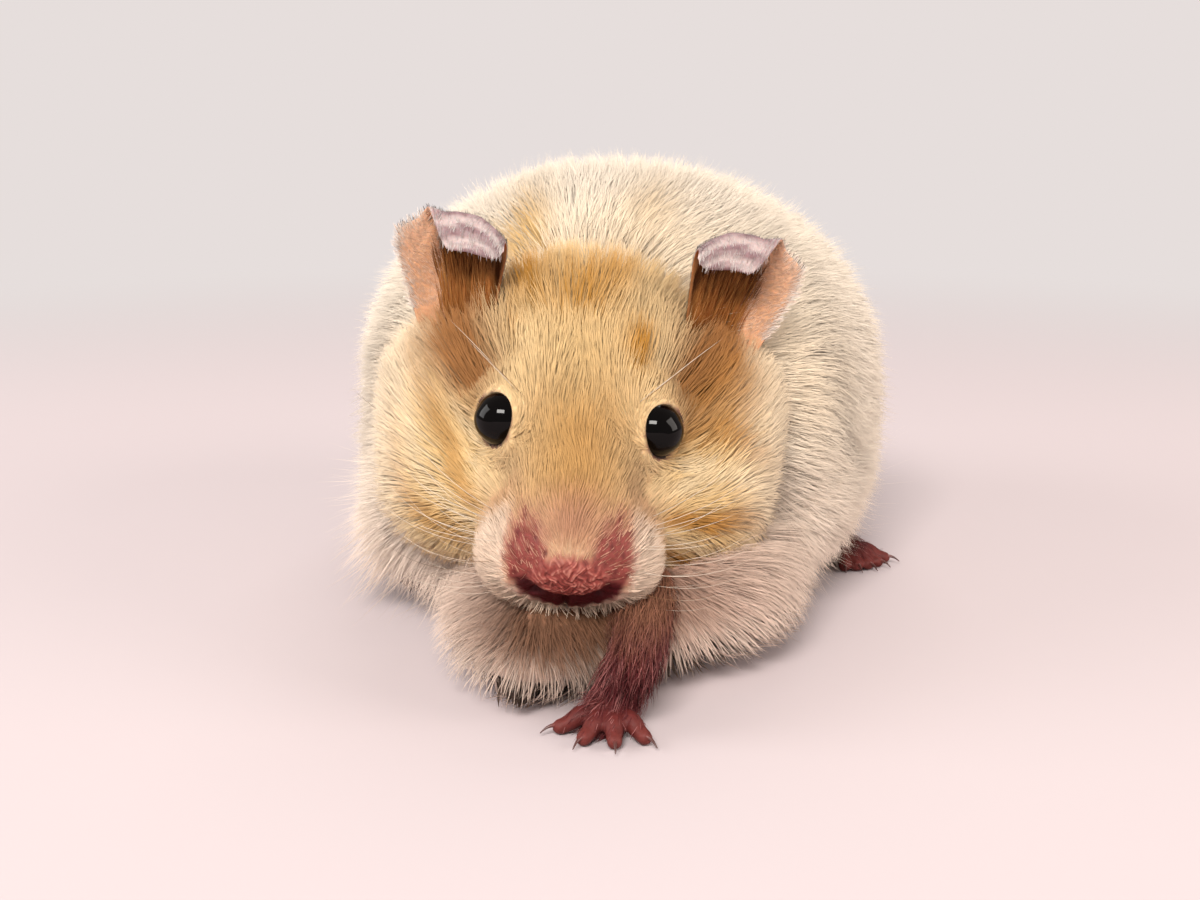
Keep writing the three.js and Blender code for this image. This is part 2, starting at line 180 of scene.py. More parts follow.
floor_corners = [(x * FLOOR_REACH, y * FLOOR_REACH, 0) for x, y in ((-1, -1), (1, -1), (1, 1), (-1, 1))]
floor = mesh_object("floor", floor_corners, [(0, 1, 2, 3)], floor_finish())
floor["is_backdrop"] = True

world = bpy.data.worlds.new("surround")
bpy.context.scene.world = world
world.use_nodes = True
world.node_tree.nodes.clear()
sky = world.node_tree
seen = add(sky, "ShaderNodeLightPath").outputs["Is Camera Ray"]
glow = add(sky, "ShaderNodeBackground", {"Color": (*linear(GLOW_COLOUR), 1), "Strength": GLOW_STRENGTH})
paper = add(sky, "ShaderNodeBackground", {"Color": (*linear(SURROUND_COLOUR), 1), "Strength": 1.0})
chosen = add(sky, "ShaderNodeMixShader", {0: seen, 1: glow.outputs[0], 2: paper.outputs[0]})
add(sky, "ShaderNodeOutputWorld", {"Surface": chosen.outputs[0]})


def softbox(name, place, aim, size, watts, colour):
    """Area lamp of a width and height, at a place in millimetres, facing the point it aims at."""
    lamp = bpy.data.objects.new(name, bpy.data.lights.new(name, "AREA"))
    bpy.context.scene.collection.objects.link(lamp)
    lamp.data.shape = "RECTANGLE"
    lamp.data.size = size[0] * MM
    lamp.data.size_y = size[1] * MM
    lamp.data.energy = watts
    lamp.data.color = tuple(linear(colour))
    lamp.location = Vector(place) * MM
    lamp.rotation_euler = (Vector(aim) - Vector(place)).to_track_quat("-Z", "Y").to_euler()


AIM = (0, -20, 25)  # the animal's head and breast, which every lamp faces
softbox("softbox_front", (-180, -940, 840), AIM, (620, 290), 21.5, "#FFFAF4")
softbox("softbox_left", (620, -180, 300), AIM, (400, 400), 2.9, "#FFF6EE")
softbox("softbox_right", (-640, -60, 320), AIM, (400, 400), 2.8, "#FFFDFB")
softbox("softbox_behind", (60, 520, 640), AIM, (420, 420), 1.8, "#FFFCF8")

# ---- Head and body forms ----
# Flesh and coat together are a blend of rounded lumps, the same ones that the solids are made of.
# The skin is that form shrunk by the depth of the coat over it.


def lump(x, y, z, wide, long, high, blend, pair=False):
    """An ellipsoid's centre and half sizes, its blend into the lumps before it, and whether it has
    a mirrored twin."""
    return (np.array([x, y, z]), np.array([wide, long, high]), blend, pair)


HEAD_LUMPS = [
    lump(0, 14, -1, 15.5, 18, 13.6, 5),  # cranium
    lump(0, -1, -3.8, 8.4, 14, 7.6, 5),  # brow and bridge
    lump(0, -12, -7, 7.4, 9.2, 5.8, 4),  # snout
    lump(5.6, -12.6, -9.4, 6.1, 7, 6, 3, True),  # whisker pads
    lump(0, -10.5, -13, 6, 7.8, 4.4, 4),  # chin
    lump(7.5, 1, -11.3, 7, 10, 7.2, 5, True),  # jowls
    lump(14.5, 17, -6.5, 14, 14.5, 14, 6, True),  # cheeks
    lump(14, 8.5, -13.5, 12, 12.5, 10.5, 7, True),  # pouches
    lump(0, 20, 7, 13.5, 11, 8.5, 6),  # crown
]
TRUNK_LUMPS = [
    lump(0, 17, 26, 32, 17, 24, 8),  # neck and shoulders
    lump(-1, 18, 36, 18, 18, 20, 8),  # nape
    lump(0, 42, 29, 41.5, 32, 33.5, 12),  # barrel
    lump(0, 63, 26, 34, 27, 28, 12),  # rump
    lump(24, 36, 13, 15, 30, 14, 8, True),  # flanks
    lump(25, 50, 18, 14, 20, 17, 8, True),  # haunches
]
BREAST_LUMPS = [
    lump(2, -5, 6, 21, 19, 12, 8),  # breast
    lump(-5, -10.5, 5, 13, 20.5, 10.5, 8),  # fringe of the breast, beside the left forearm
    lump(17.5, 3, 7.5, 12.5, 18, 11.5, 8),  # coat over the left elbow
]
ELBOW_LUMPS = [lump(-19, 14, 10, 13, 15, 13, 11)]  # coat over the right elbow
BELLY_CLEARANCE, PAD_DEPTH = 2.2, 3.2
PADS = [(-2, -14, 13, 14), (0, 60, 15, 11)]  # where the underside carries weight: x, y, wide, long


def soft_min(a, b, blend):
    """Smaller of two values, less a parabola's worth where they are within the blend."""
    near = np.maximum(blend - np.abs(a - b), 0) / blend
    return np.minimum(a, b) - near * near * blend / 4


def lump_gap(points, lumps):
    """Near-distance to the blended lumps: k(k-1)/|grad k| for each ellipsoid, softly joined."""
    gap = np.full(len(points), 1e9)
    for at, half, blend, pair in lumps:
        own = points.copy()
        if pair:
            own[:, 0] = np.abs(own[:, 0])
        own = (own - at) / half
        scaled = np.linalg.norm(own, axis=1)
        slope = np.maximum(np.linalg.norm(own / half, axis=1), 1e-9)
        gap = soft_min(gap, scaled * (scaled - 1) / slope, blend)
    return gap


def head_gap(points):
    """Below zero inside the tips of the head's coat."""
    return lump_gap(points, HEAD_LUMPS)


def body_gap(points, lumps=TRUNK_LUMPS + BREAST_LUMPS + ELBOW_LUMPS):
    """Below zero inside the tips of the body's coat: its lumps, cut from below by the clearance
    over the floor, which dips where the underside carries weight."""
    x, y, z = points.T
    floor_level = np.full(len(points), BELLY_CLEARANCE)
    for px, py, wide, long in PADS:
        floor_level -= PAD_DEPTH * np.exp(-((x - px) / wide) ** 2 - ((y - py) / long) ** 2)
    return -soft_min(-lump_gap(points, lumps), z - floor_level, 3)


def smooth(value, low, high):
    """0 below low, 1 above high, and an S-curve between."""
    t = np.clip((value - low) / (high - low), 0, 1)
    return t * t * (3 - 2 * t)


def eye_distance(points):
    """Distance in the head's frame to the nearer eyeball's centre."""
    own = np.abs(points * [1, 0, 0]) + points * [0, 1, 1]
    return np.linalg.norm(own - [EYE_SPREAD, EYE_BACK, 0], axis=1)


def muzzle_marks(points):
    """How far a point of the head lies in each mark of the bare muzzle, from 0 to 1.

    Seen from the front, x across and z up: the patch is two lobes and a lower ellipse with a ragged
    edge, the groove an arc under the nose that thins to its ends, the pad an ellipse, each nostril
    a slanted spot, and the cleft a line below them.
    """
    x, y, z = points.T
    front = smooth(-y, 8.5, 12.5)
    side = np.abs(x - 0.2)
    lobe = np.hypot((side - 4.9) / 2.9, (z + 6.2) / 4.0)
    low = np.hypot((x - 0.2) / 6.9, (z + 8.7) / 4.7)
    ragged = 0.09 * np.sin(2.3 * x + 1.9 * z) * np.sin(1.7 * x - 2.6 * z + 1.0)
    patch = (1 - smooth(np.minimum(lobe, low) + ragged, 0.65, 1.3)) * front
    around = np.arctan2(x - 0.3, -(z + 6.6))
    ring = np.hypot((x - 0.3) / 1.1, z + 6.6)
    thick = np.maximum(1.95 - 0.75 * np.abs(around), 0.5)
    groove = np.exp(-(((ring - 5.15) / thick) ** 4)) * (1 - smooth(np.abs(around), 1.0, 1.5)) * front
    pad = (1 - smooth(np.hypot((x - 0.3) / 4.5, (z + 7.0) / 2.8), 0.75, 1.1)) * front
    nostril = np.exp(-(((side - 3.6 + 0.4 * (z + 10)) / 0.7) ** 2) - ((z + 10.2) / 0.8) ** 2) * front
    cleft = np.exp(-((x / 0.32) ** 2)) * smooth(-z, 10.5, 11.8) * (1 - smooth(-z, 14.2, 15.2)) * front
    return {"patch": patch, "groove": groove, "pad": pad, "nostril": nostril, "cleft": cleft}


def lip_share(points):
    """How far a point of the head lies on the pale lips, below and beside the bare patch."""
    x, y, z = points.T
    side = np.abs(x)
    below = smooth(-y, 4, 11) * smooth(-z - 0.25 * side, 6.0, 9.5)
    return np.maximum(below, smooth(-y, 8, 13) * smooth(side, 6.5, 8.5))


def crumple(points):
    """Uneven lumps of bare skin about a millimetre across: products of sines in two sizes."""
    x, _, z = points.T
    across = x + 0.5 * np.sin(1.9 * z + 0.7) + 0.25 * np.sin(4.3 * z - 2.1 * x)
    up = z + 0.5 * np.sin(2.3 * x + 1.1) + 0.25 * np.sin(3.7 * x + 2.9 * z)
    coarse = np.sin(3.1 * across) * np.sin(2.9 * up + 0.6)
    return coarse + 0.8 * np.sin(6.7 * across + 2.9 * up) * np.sin(5.9 * up - 3.1 * across + 1.0)


EYE_LOOKS = np.array([0.82, -0.56, 0.1]) / np.linalg.norm([0.82, -0.56, 0.1])
LID_LEVEL = 1.6  # how far out of the eyeball's centre the lids close round it
LID_OPENING = 3.1  # the skin slopes up from this far round the eyeball's axis
LID_RIM, LID_RIM_WIDTH, LID_RIM_HEIGHT = 3.3, 0.35, 0.25  # the lids' raised rim


def eye_view(points):
    """Distance of points ahead of the nearer eyeball's centre, along the way it looks, and aside."""
    local = np.array(points, float)
    local[..., 0] = np.abs(local[..., 0])
    local = local - [EYE_SPREAD, EYE_BACK, 0]
    ahead = local @ EYE_LOOKS
    return ahead, np.linalg.norm(local - ahead[..., None] * EYE_LOOKS, axis=-1)


def head_depth(points):
    """Depth of the coat over the head: short on the muzzle, nothing at the lids, long at the back.

    The groove, nostrils and cleft are pressed into the skin, the nose pad stands up, and the bare
    patch is crumpled.
    """
    y = points[:, 1]
    depth = np.interp(y, [-22, -16, -8, 0, 6, 12, 20, 26], [0.3, 0.55, 0.9, 1.4, 2.6, 4.5, 6.5, 7.5])
    depth = depth * smooth(eye_distance(points), 3.2, 6.5) + 0.12
    marks = muzzle_marks(points)
    lips = lip_share(points) * (1 - marks["patch"])
    depth = depth * (1 - 0.5 * marks["patch"]) + 0.55 * lips
    depth = depth + 0.45 * marks["groove"] + 0.8 * marks["nostril"] + 0.7 * marks["cleft"]
    depth = depth - 0.35 * marks["pad"]
    return depth + 0.09 * crumple(points) * marks["patch"]


def body_depth(points):
    """Depth of the coat over the body, from thin near the floor to long on the back."""
    return np.interp(points[:, 2], [0, 6, 16, 30], [3, 4.5, 6, 6.5])


def head_skin(points):
    """Below zero inside the head's skin, which sinks towards each eyeball in a shallow dish with a
    raised rim, the lids."""
    ahead, aside = eye_view(points)
    past = np.maximum(aside - LID_OPENING, 0)
    rim = LID_RIM_HEIGHT * np.exp(-(((aside - LID_RIM) / LID_RIM_WIDTH) ** 2))
    dish = ahead - LID_LEVEL - rim - 0.3 * past - 0.09 * past ** 2
    return -soft_min(-(head_gap(points) + head_depth(points)), -dish, 0.8)


def trunk_skin(points):
    """Below zero inside the trunk's skin, at the depth of the coat."""
    return body_gap(points, TRUNK_LUMPS) + body_depth(points)


def breast_skin(points):
    """The same for the breast, whose coat is thinner."""
    return body_gap(points, BREAST_LUMPS) + np.interp(points[:, 2], [0, 6, 16], [2.6, 3.6, 4.6])


def elbow_skin(points):
    """The same for the coat-covered right elbow."""
    return body_gap(points, ELBOW_LUMPS) + np.interp(points[:, 2], [0, 6, 16], [3, 4.2, 5.5])


STEPS, PACE, NEAREST = 70, 0.6, 0.5  # of the search along each ray for the form's end


def ray_length(skin, start, way):
    """How far each ray runs until the form ends: each step covers a share of the gap that is left."""
    far = np.ones(len(way))
    for _ in range(STEPS):
        far = np.maximum(far - PACE * skin(start + way * far[:, None]), NEAREST)
    return far


def wrapped(skin, spine, lean, rings, around, crowd=0.0):
    """Grid of a form from its front pole to its back pole: ring t looks out from spine(t) at
    lean(t) from straight ahead, and each ray runs out until the form ends. The crowd share draws
    the rings towards the front pole."""
    s = np.linspace(0, 1, rings + 1)
    t = (1 - crowd) * s + crowd * s * s
    start = np.repeat(spine(t), around, axis=0)
    tilt = np.repeat(lean(t), around)
    turn = np.tile(np.arange(around) * 2 * math.pi / around, rings + 1)
    way = np.stack([np.sin(tilt) * np.sin(turn), -np.cos(tilt), np.sin(tilt) * np.cos(turn)], axis=1)
    points = start + way * ray_length(skin, start, way)[:, None]
    return points.reshape(rings + 1, around, 3)


def grid_faces(rings, around):
    """Quads of a grid of points in rows that close on themselves."""
    row, step = np.meshgrid(np.arange(rings), np.arange(around), indexing="ij")
    a = row * around + step
    b = row * around + (step + 1) % around
    return np.stack([a, b, b + around, a + around], axis=-1).reshape(-1, 4)


def ramped(t, low, high, start=0.0, end=1.0):
    """Low up to the start, high from the end on, and a straight line between."""
    return low + (high - low) * np.clip((t - start) / (end - start), 0, 1)


def head_spine(t):
    """Middle line of the head, from the snout up and back to the cranium."""
    return np.stack([0 * t, ramped(t, -12, 14, 0.2, 0.8), ramped(t, -8, 0, 0, 0.7)], axis=1)


def head_lean(t):
    """Lean of the head's rings from straight ahead to straight back, turning fastest in the middle."""
    return math.pi * (0.6 * t + 0.2 - 0.2 * np.cos(math.pi * t))


def trunk_spine(t):
    """Middle line of the trunk, from between the shoulders back to the rump."""
    return np.stack([0 * t, ramped(t, 18, 61, 0.2, 0.8), ramped(t, 23, 27, 0, 0.5)], axis=1)


def breast_spine(t):
    """Middle line of the breast, slanting back towards the left elbow."""
    return np.stack([ramped(t, 2, 12), ramped(t, -8, 2, 0.2, 0.8), 8 + 0 * t], axis=1)


def elbow_spine(t):
    """One point inside the right elbow."""
    return np.stack([0 * t - 19, 0 * t + 13, 0 * t + 10], axis=1)


def body_lean(t):
    """Lean of the body's rings: a cosine, so that they crowd at both poles."""
    return math.pi * (0.5 - 0.5 * np.cos(math.pi * t))


head_grid = wrapped(head_skin, head_spine, head_lean, rings=170, around=160, crowd=0.5)
trunk_grid = wrapped(trunk_skin, trunk_spine, body_lean, rings=110, around=130)
breast_grid = wrapped(breast_skin, breast_spine, body_lean, rings=50, around=60)
elbow_grid = wrapped(elbow_skin, elbow_spine, body_lean, rings=30, around=40)


def from_head(points):
    """From the head's frame to the model's."""
    return points @ HEAD_TURN.T + HEAD_AT


def from_body(points):
    """From the body's frame to the model's."""
    return points @ BODY_TURN.T + BODY_AT


def to_head(points):
    """From the model's frame to the head's."""
    return (points - HEAD_AT) @ HEAD_TURN


def to_body(points):
    """From the model's frame to the body's."""
    return (points - BODY_AT) @ BODY_TURN


def moved(grid, to_model):
    """A grid of points put through a change of frame."""
    return to_model(grid.reshape(-1, 3)).reshape(grid.shape)


# ---- Ears ----
# Each ear is a thin cupped leaf of bare skin whose top folds forward, with creases along the fold.
# The inside is pink at the outer margin, and the back, which shows on the folded top, is
# grey-lilac.
EAR_WIDTH, EAR_CUP, EAR_WALL = 14.5, 3, 0.8
EAR_STRAIGHT, EAR_UNFOLDED = 12.8, 1.6  # length up to the fold, and more of it at the outer margin
EAR_ROLLED, EAR_CORNER = 2.6, 1.6  # and less of it at the crown side and at the outer corner
EAR_FOLDED, EAR_FOLD, EAR_FOLD_TURN = 9.2, 2.4, 2.65  # length folded over, fold's radius and radians
EAR_HANG = 2  # how far the flap is drawn towards the crown
EAR_AT = np.array([17.2, 16.5, 3])
EAR_TURN, EAR_TILT = 14, -13
EAR_LEAN = {1: 14, -1: 4}  # the left ear leans further out than the right
EAR_ACROSS, EAR_UP = 44, 76


def ear_lengths(u, v):
    """Length along the left ear's skin from its root, and how much of that is beyond the start of
    the fold: the folded share is most at the crown side and nothing at the outer margin."""
    outer = smooth(u, 0.15, 0.75)
    crownwards = np.maximum(-u, 0)
    rounded = EAR_ROLLED * crownwards ** 2 + EAR_CORNER * np.maximum(u, 0) ** 6
    straight = EAR_STRAIGHT + EAR_UNFOLDED * outer - rounded
    folded = EAR_FOLDED * (1 - outer) * (1 - 0.4 * crownwards ** 4)
    length = v * (straight + folded)
    return length, np.maximum(length - straight, 0)


def ear_middle(u, v):
    """Middle of the left ear's leaf, u from -1 at the crown side to 1 at the outer margin and v
    from root to rim: a shallow cup, a straight stretch, a round fold, and a flap that hangs from
    it, drawn towards the crown. The outer margin stands up."""
    length, over = ear_lengths(u, v)
    half = EAR_WIDTH / 2 * ramped(length, 0.68, 1, 0, 10)
    cup = EAR_CUP * (1 - u * u) * (0.55 + 0.45 * np.sin(math.pi * np.minimum(v, 0.6)))
    bend = np.minimum(over / EAR_FOLD, EAR_FOLD_TURN)
    flap = np.maximum(over - EAR_FOLD * EAR_FOLD_TURN, 0)
    rise = length - over + EAR_FOLD * np.sin(bend) + flap * np.cos(bend)
    forward = EAR_FOLD * (1 - np.cos(bend)) + flap * np.sin(bend)
    drawn = -EAR_HANG * over / EAR_FOLDED
    return np.stack([u * half + drawn, cup - forward, rise], axis=-1)


def ear_out(u, v):
    """Unit direction out of the inner face: along u crossed with along v."""
    step = 0.01
    across = ear_middle(u + step, v) - ear_middle(u - step, v)
    up = ear_middle(u, np.minimum(v + step, 1)) - ear_middle(u, np.maximum(v - step, 0))
    out = np.cross(across, up)
    return out / np.maximum(np.linalg.norm(out, axis=-1, keepdims=True), 1e-9)


def ear_streaks(u, v):
    """Waves that run along the fold, for its creases: a sine of the length beyond the fold."""
    _, over = ear_lengths(u, v)
    wavy = np.sin(2.6 * over - 0.9 * u + 0.9 * np.sin(4 * u + 0.5 * over))
    return 0.65 * wavy + 0.35 * np.sin(5.3 * over + 3.1 * u + 1.5 * np.sin(7 * u - over))


def ear_surface(u, v, face):
    """Point of the inner face (1) or the back (-1): the middle, plus half the wall, which thins to
    the edges, plus creases that run along the fold and a fine ripple."""
    edge = np.sqrt(np.maximum(1 - u ** 8, 0)) * np.sqrt(np.maximum(1 - np.abs(2 * v - 1) ** 16, 0))
    _, over = ear_lengths(u, v)
    crease = 0.32 * smooth(over, 0.3, 2.0) * ear_streaks(u, v) * (1 - u * u) * (1 - 0.3 * v)
    ripple = 0.07 * np.sin(9 * u + 7 * v) * np.sin(21 * v - 4 * u)
    wall = (EAR_WALL / 2 * (1.15 - 0.5 * v) * (0.12 + 0.88 * edge))[..., None]
    return ear_middle(u, v) + ear_out(u, v) * (face * wall + ((crease + ripple) * edge)[..., None])


def from_ear(points, side):
    """The ear's own frame to the head's: turned outward, tipped to its side and leant back."""
    turn = turned(0, EAR_TILT) @ turned(1, side * EAR_LEAN[side]) @ turned(2, side * EAR_TURN)
    return points @ turn.T + EAR_AT * [side, 1, 1]


def mixed(first, second, share):
    """Blend of two colours, or arrays of them, by a share from 0 to 1."""
    share = np.asarray(share)[..., None]
    return first * (1 - share) + second * share


def paint(made, colours):
    """Stores the colour of each vertex, for the skin, claws and hair to read."""
    layer = made.data.attributes.new("pelage", "FLOAT_COLOR", "POINT")
    full = np.ones((len(made.data.vertices), 4), np.float32)
    full[:, :3] = np.asarray(colours).reshape(-1, 3)
    layer.data.foreach_set("color", full.ravel())


def ear_colours(u, v, face):
    """Pink-tan at the outer margin, orange-brown towards the crown, and darkest under the fold with
    painted shade; the back is lilac-grey with whitish streaks along the creases."""
    margin = smooth(u, -0.1, 0.55)
    _, over = ear_lengths(u, v)
    inside = mixed(linear("#9A5528"), linear("#C99672"), margin)
    inside = mixed(inside, linear("#C99C7E"), margin * smooth(v, 0.6, 0.9))
    # Painted shade under the fold: dark brown where the flap hangs over the inside.
    shade_under_fold = np.exp(-(((v - 0.5) / 0.14) ** 2) - ((u - 0.1) / 0.4) ** 2)
    inside = mixed(inside, linear("#4E2010"), shade_under_fold)
    back = mixed(linear("#84696C"), linear("#B7A4A1"), smooth(ear_streaks(u, v), -0.8, 0.8))
    back = mixed(back, linear("#D0A283"), 1 - smooth(over, 0.1, 1.2))
    both = mixed(inside, back, (face < 0) * 1.0)
    return mixed(both, linear("#8A5A34"), smooth(-u, 0.6, 0.9) * (1 - smooth(over, 0.5, 2)))


def ear_part(side, finish):
    """Closed leaf: rows from root to rim that run across the inner face and return on the back."""
    u = -np.cos(np.pi * np.arange(EAR_ACROSS + 1) / EAR_ACROSS)
    u = np.tile(np.concatenate([u, u[::-1]]), (EAR_UP + 1, 1))
    v = np.repeat(np.linspace(0, 1, EAR_UP + 1)[:, None], u.shape[1], axis=1)
    face = np.where(np.arange(u.shape[1]) <= EAR_ACROSS, 1.0, -1.0)[None, :] * np.ones_like(u)
    points = np.where(face[..., None] > 0, ear_surface(u, v, 1.0), ear_surface(u, v, -1.0))
    around = u.shape[1]
    first = np.arange(EAR_ACROSS)
    last = around - 1 - first
    ends = np.stack([first, last, last - 1, first + 1], axis=1)
    top = EAR_UP * around
    faces = np.concatenate([grid_faces(EAR_UP, around), ends, (ends + top)[:, ::-1]])
    local = from_ear(points.reshape(-1, 3) * [side, 1, 1], side)
    made = mesh_object("ear_part", from_head(local), faces[:, ::side], finish)
    paint(made, ear_colours(u, v, face))
    return made


# ---- Feet, legs and tail ----
# The feet are bare, pink and flat-soled, four toes in front and five behind, each toe arched at
# its knuckle and swollen at its tip. The legs come down out of the coat, and the tail is a stub.
# Palm: half width, half length and half height; length of the toes; limb's radius low and high.
FORE = {"sole": 3.3, "long": 3.4, "high": 2.2, "toes": 4.6, "limb": 2.6, "root": 3.6}
HIND = {"sole": 3.2, "long": 4.4, "high": 2.1, "toes": 5, "limb": 2.5, "root": 4}
# Each foot: its kind, palm, wrist or heel, root in the body, and the angles that its toes fan to.
FEET = {
    "fore_left": (FORE, (5.6, -27.5), (8.2, -24, 8), (8.5, -13, 11.5), (-62, -24, 8, 40)),
    "fore_right": (FORE, (-14, 5), (-14.5, 10, 8), (-15, 17, 15), (-40, -14, 14, 42)),
    "hind_left": (HIND, (35, 39.5), (30, 47, 4.5), (25, 50, 13), (2, 18, 34, 52, 74)),
    "hind_right": (HIND, (-24, 23), (-22.5, 32, 4.5), (-20, 38, 13), (-48, -26, -10, 6, 22)),
}
PAW_COLOUR, TOE_COLOUR = linear("#56211F"), linear("#662D28")
LIMB_COLOUR, UPPER_LIMB_COLOUR = linear("#6A2A2C"), linear("#7A4A3A")
FOOT_VOXEL = 0.27  # fine enough to keep the toes apart
SOLE_LEVEL = 0.06  # nothing of a foot lies lower over the floor


def tube(path, radii, around=14, rounding=4):
    """Grid of a round tube along a path, closed by a half-sphere at each end."""
    path = np.asarray(path, float)
    radii = np.asarray(radii, float)
    along = np.gradient(path, axis=0)
    along /= np.linalg.norm(along, axis=1, keepdims=True)
    turn = np.arange(rounding, 0, -1) * math.pi / 2 / rounding
    centres = np.concatenate([
        path[0] - along[0] * (radii[0] * np.sin(turn))[:, None],
        path,
        path[-1] + along[-1] * (radii[-1] * np.sin(turn[::-1]))[:, None],
    ])
    widths = np.concatenate([radii[0] * np.cos(turn), radii, radii[-1] * np.cos(turn[::-1])])
    widths[[0, -1]] = 0
    caps = np.repeat(along[:1], rounding, 0), np.repeat(along[-1:], rounding, 0)
    heading = np.concatenate([caps[0], along, caps[1]])
    side = np.cross(heading, [0, 0, 1.0])
    side /= np.maximum(np.linalg.norm(side, axis=1, keepdims=True), 1e-9)
    rise = np.cross(side, heading)
    a = np.arange(around) * 2 * math.pi / around
    ring = side[:, None] * np.cos(a)[None, :, None] + rise[:, None] * np.sin(a)[None, :, None]
    return centres[:, None] + ring * widths[:, None, None]


def toe_path(foot, fan):
    """Middle line of a toe: straight out over the floor along its fan angle, dropping to the tip,
    with an arch at the knuckle."""
    kind, at, *_ = foot
    t = np.linspace(0, 1, 9)
    way = np.array([math.sin(math.radians(fan)), -math.cos(math.radians(fan))])
    out = kind["sole"] * 0.55 + kind["toes"] * t
    z = 1.9 - 0.95 * t + 0.45 * np.sin(math.pi * np.minimum(t * 1.3, 1))
    return np.stack([at[0] + way[0] * out, at[1] + way[1] * out, z], axis=1)


def foot_tubes(foot):
    """Tubes of one foot and leg: the palm's length and spread, from it up to the wrist or heel, the
    limb up to its root, and the toes, each swollen at its knuckle and tip."""
    kind, at, wrist, root, fans = foot
    t = np.linspace(0, 1, 9)[:, None]
    wrist, root = np.array(wrist), np.array(root)
    palm = np.array([at[0], at[1], kind["high"] - 0.1])
    heading = (palm - wrist) * [1, 1, 0]
    heading /= np.linalg.norm(heading)
    reach = heading * (kind["long"] - kind["high"] + 0.4)
    tubes = [tube(palm - reach + 2 * reach * t, kind["high"] * (0.92 + 0.08 * np.sin(math.pi * t[:, 0])))]
    across = np.array([heading[1], -heading[0], 0]) * (kind["sole"] - kind["high"] + 0.5)
    spread = palm + heading * 0.8 - [0, 0, 0.35]
    tubes.append(tube(spread - across + 2 * across * t, np.full(9, kind["high"] * 0.8)))
    tubes.append(tube(wrist + (palm - wrist) * t, kind["limb"] + (kind["high"] - kind["limb"]) * t[:, 0]))
    tubes.append(tube(root + (wrist - root) * t, kind["root"] + (kind["limb"] - kind["root"]) * t[:, 0]))
    for fan in fans:
        s = np.linspace(0, 1, 9)
        knuckles = 1.18 - 0.28 * s + 0.12 * np.cos(2 * math.pi * (s - 0.5)) + 0.14 * smooth(s, 0.7, 1)
        tubes.append(tube(toe_path(foot, fan), knuckles, 12))
    return tubes


def joined_grids(name, grids, finish):
    """One object from several closed grids."""
    points, faces, start = [], [], 0
    for grid in grids:
        rings, around = grid.shape[0] - 1, grid.shape[1]
        points.append(grid.reshape(-1, 3))
        faces.append(grid_faces(rings, around) + start)
        start += grid.shape[0] * around
    return mesh_object(name, np.concatenate(points), np.concatenate(faces), finish)


def welded(made):
    """Merges points that lie together and turns every face outward."""
    work = bmesh.new()
    work.from_mesh(made.data)
    bmesh.ops.remove_doubles(work, verts=work.verts, dist=1e-7)
    bmesh.ops.recalc_face_normals(work, faces=work.faces)
    work.to_mesh(made.data)
    work.free()
    return made


def settled(made):
    """Makes an object's modifiers part of its mesh."""
    finished = made.evaluated_get(bpy.context.evaluated_depsgraph_get())
    mesh = bpy.data.meshes.new_from_object(finished)
    made.modifiers.clear()
    old = made.data
    made.data = mesh
    bpy.data.meshes.remove(old)
    return made


def modifier(made, kind, **settings):
    """Adds one modifier with its settings."""
    added = made.modifiers.new(kind.lower(), kind)
    for name, value in settings.items():
        setattr(added, name, value)


def corners(made):
    """Vertex places of an object, in millimetres."""
    flat = np.zeros(len(made.data.vertices) * 3, np.float32)
    made.data.vertices.foreach_get("co", flat)
    return flat.reshape(-1, 3).astype(float) / MM


def normals(made):
    """Normal of an object's surface at each vertex."""
    flat = np.zeros(len(made.data.vertices) * 3, np.float32)
    made.data.vertices.foreach_get("normal", flat)
    return flat.reshape(-1, 3).astype(float)


def foot_part(foot, finish):
    """One foot and leg melted into one form, resting on the floor."""
    grids = [moved(grid, from_body) for grid in foot_tubes(foot)]
    made = joined_grids("foot_part", grids, finish)
    modifier(made, "REMESH", mode="VOXEL", voxel_size=FOOT_VOXEL * MM, use_smooth_shade=True)
    modifier(made, "SMOOTH", factor=0.5, iterations=4)
    settled(made)
    places = corners(made)
    places[:, 2] = np.maximum(places[:, 2], SOLE_LEVEL)
    made.data.vertices.foreach_set("co", (places * MM).astype(np.float32).ravel())
    kind, at, *_ = foot
    local = to_body(places)
    out = np.hypot(local[:, 0] - at[0], local[:, 1] - at[1])
    toes = smooth(out, kind["sole"], kind["sole"] + kind["toes"] * 0.8)
    colours = mixed(PAW_COLOUR, TOE_COLOUR, toes * 0.8)
    colours = mixed(colours, LIMB_COLOUR, smooth(places[:, 2], 2.5, 7) * 0.8)
    colours = mixed(colours, UPPER_LIMB_COLOUR, smooth(places[:, 2], 9, 13))
    paint(made, colours)
    return made


# ---- Skin ----
# One closed skin: head, body, ears, legs and tail melted together. It shows on the muzzle, the
# lids, the ears and the feet, and lies under the coat everywhere else, in the same markings.


def spot(points, x, y, z, size):
    """Round soft mask about a point."""
    return np.exp(-np.linalg.norm((points - [x, y, z]) / size, axis=1) ** 2)


def outward(points, form):
    """Unit gradient of a form, by central differences."""
    step = 0.05
    rise = [form(points + step * axis) - form(points - step * axis) for axis in np.eye(3)]
    rise = np.stack(rise, axis=1)
    return rise / np.maximum(np.linalg.norm(rise, axis=1, keepdims=True), 1e-9)


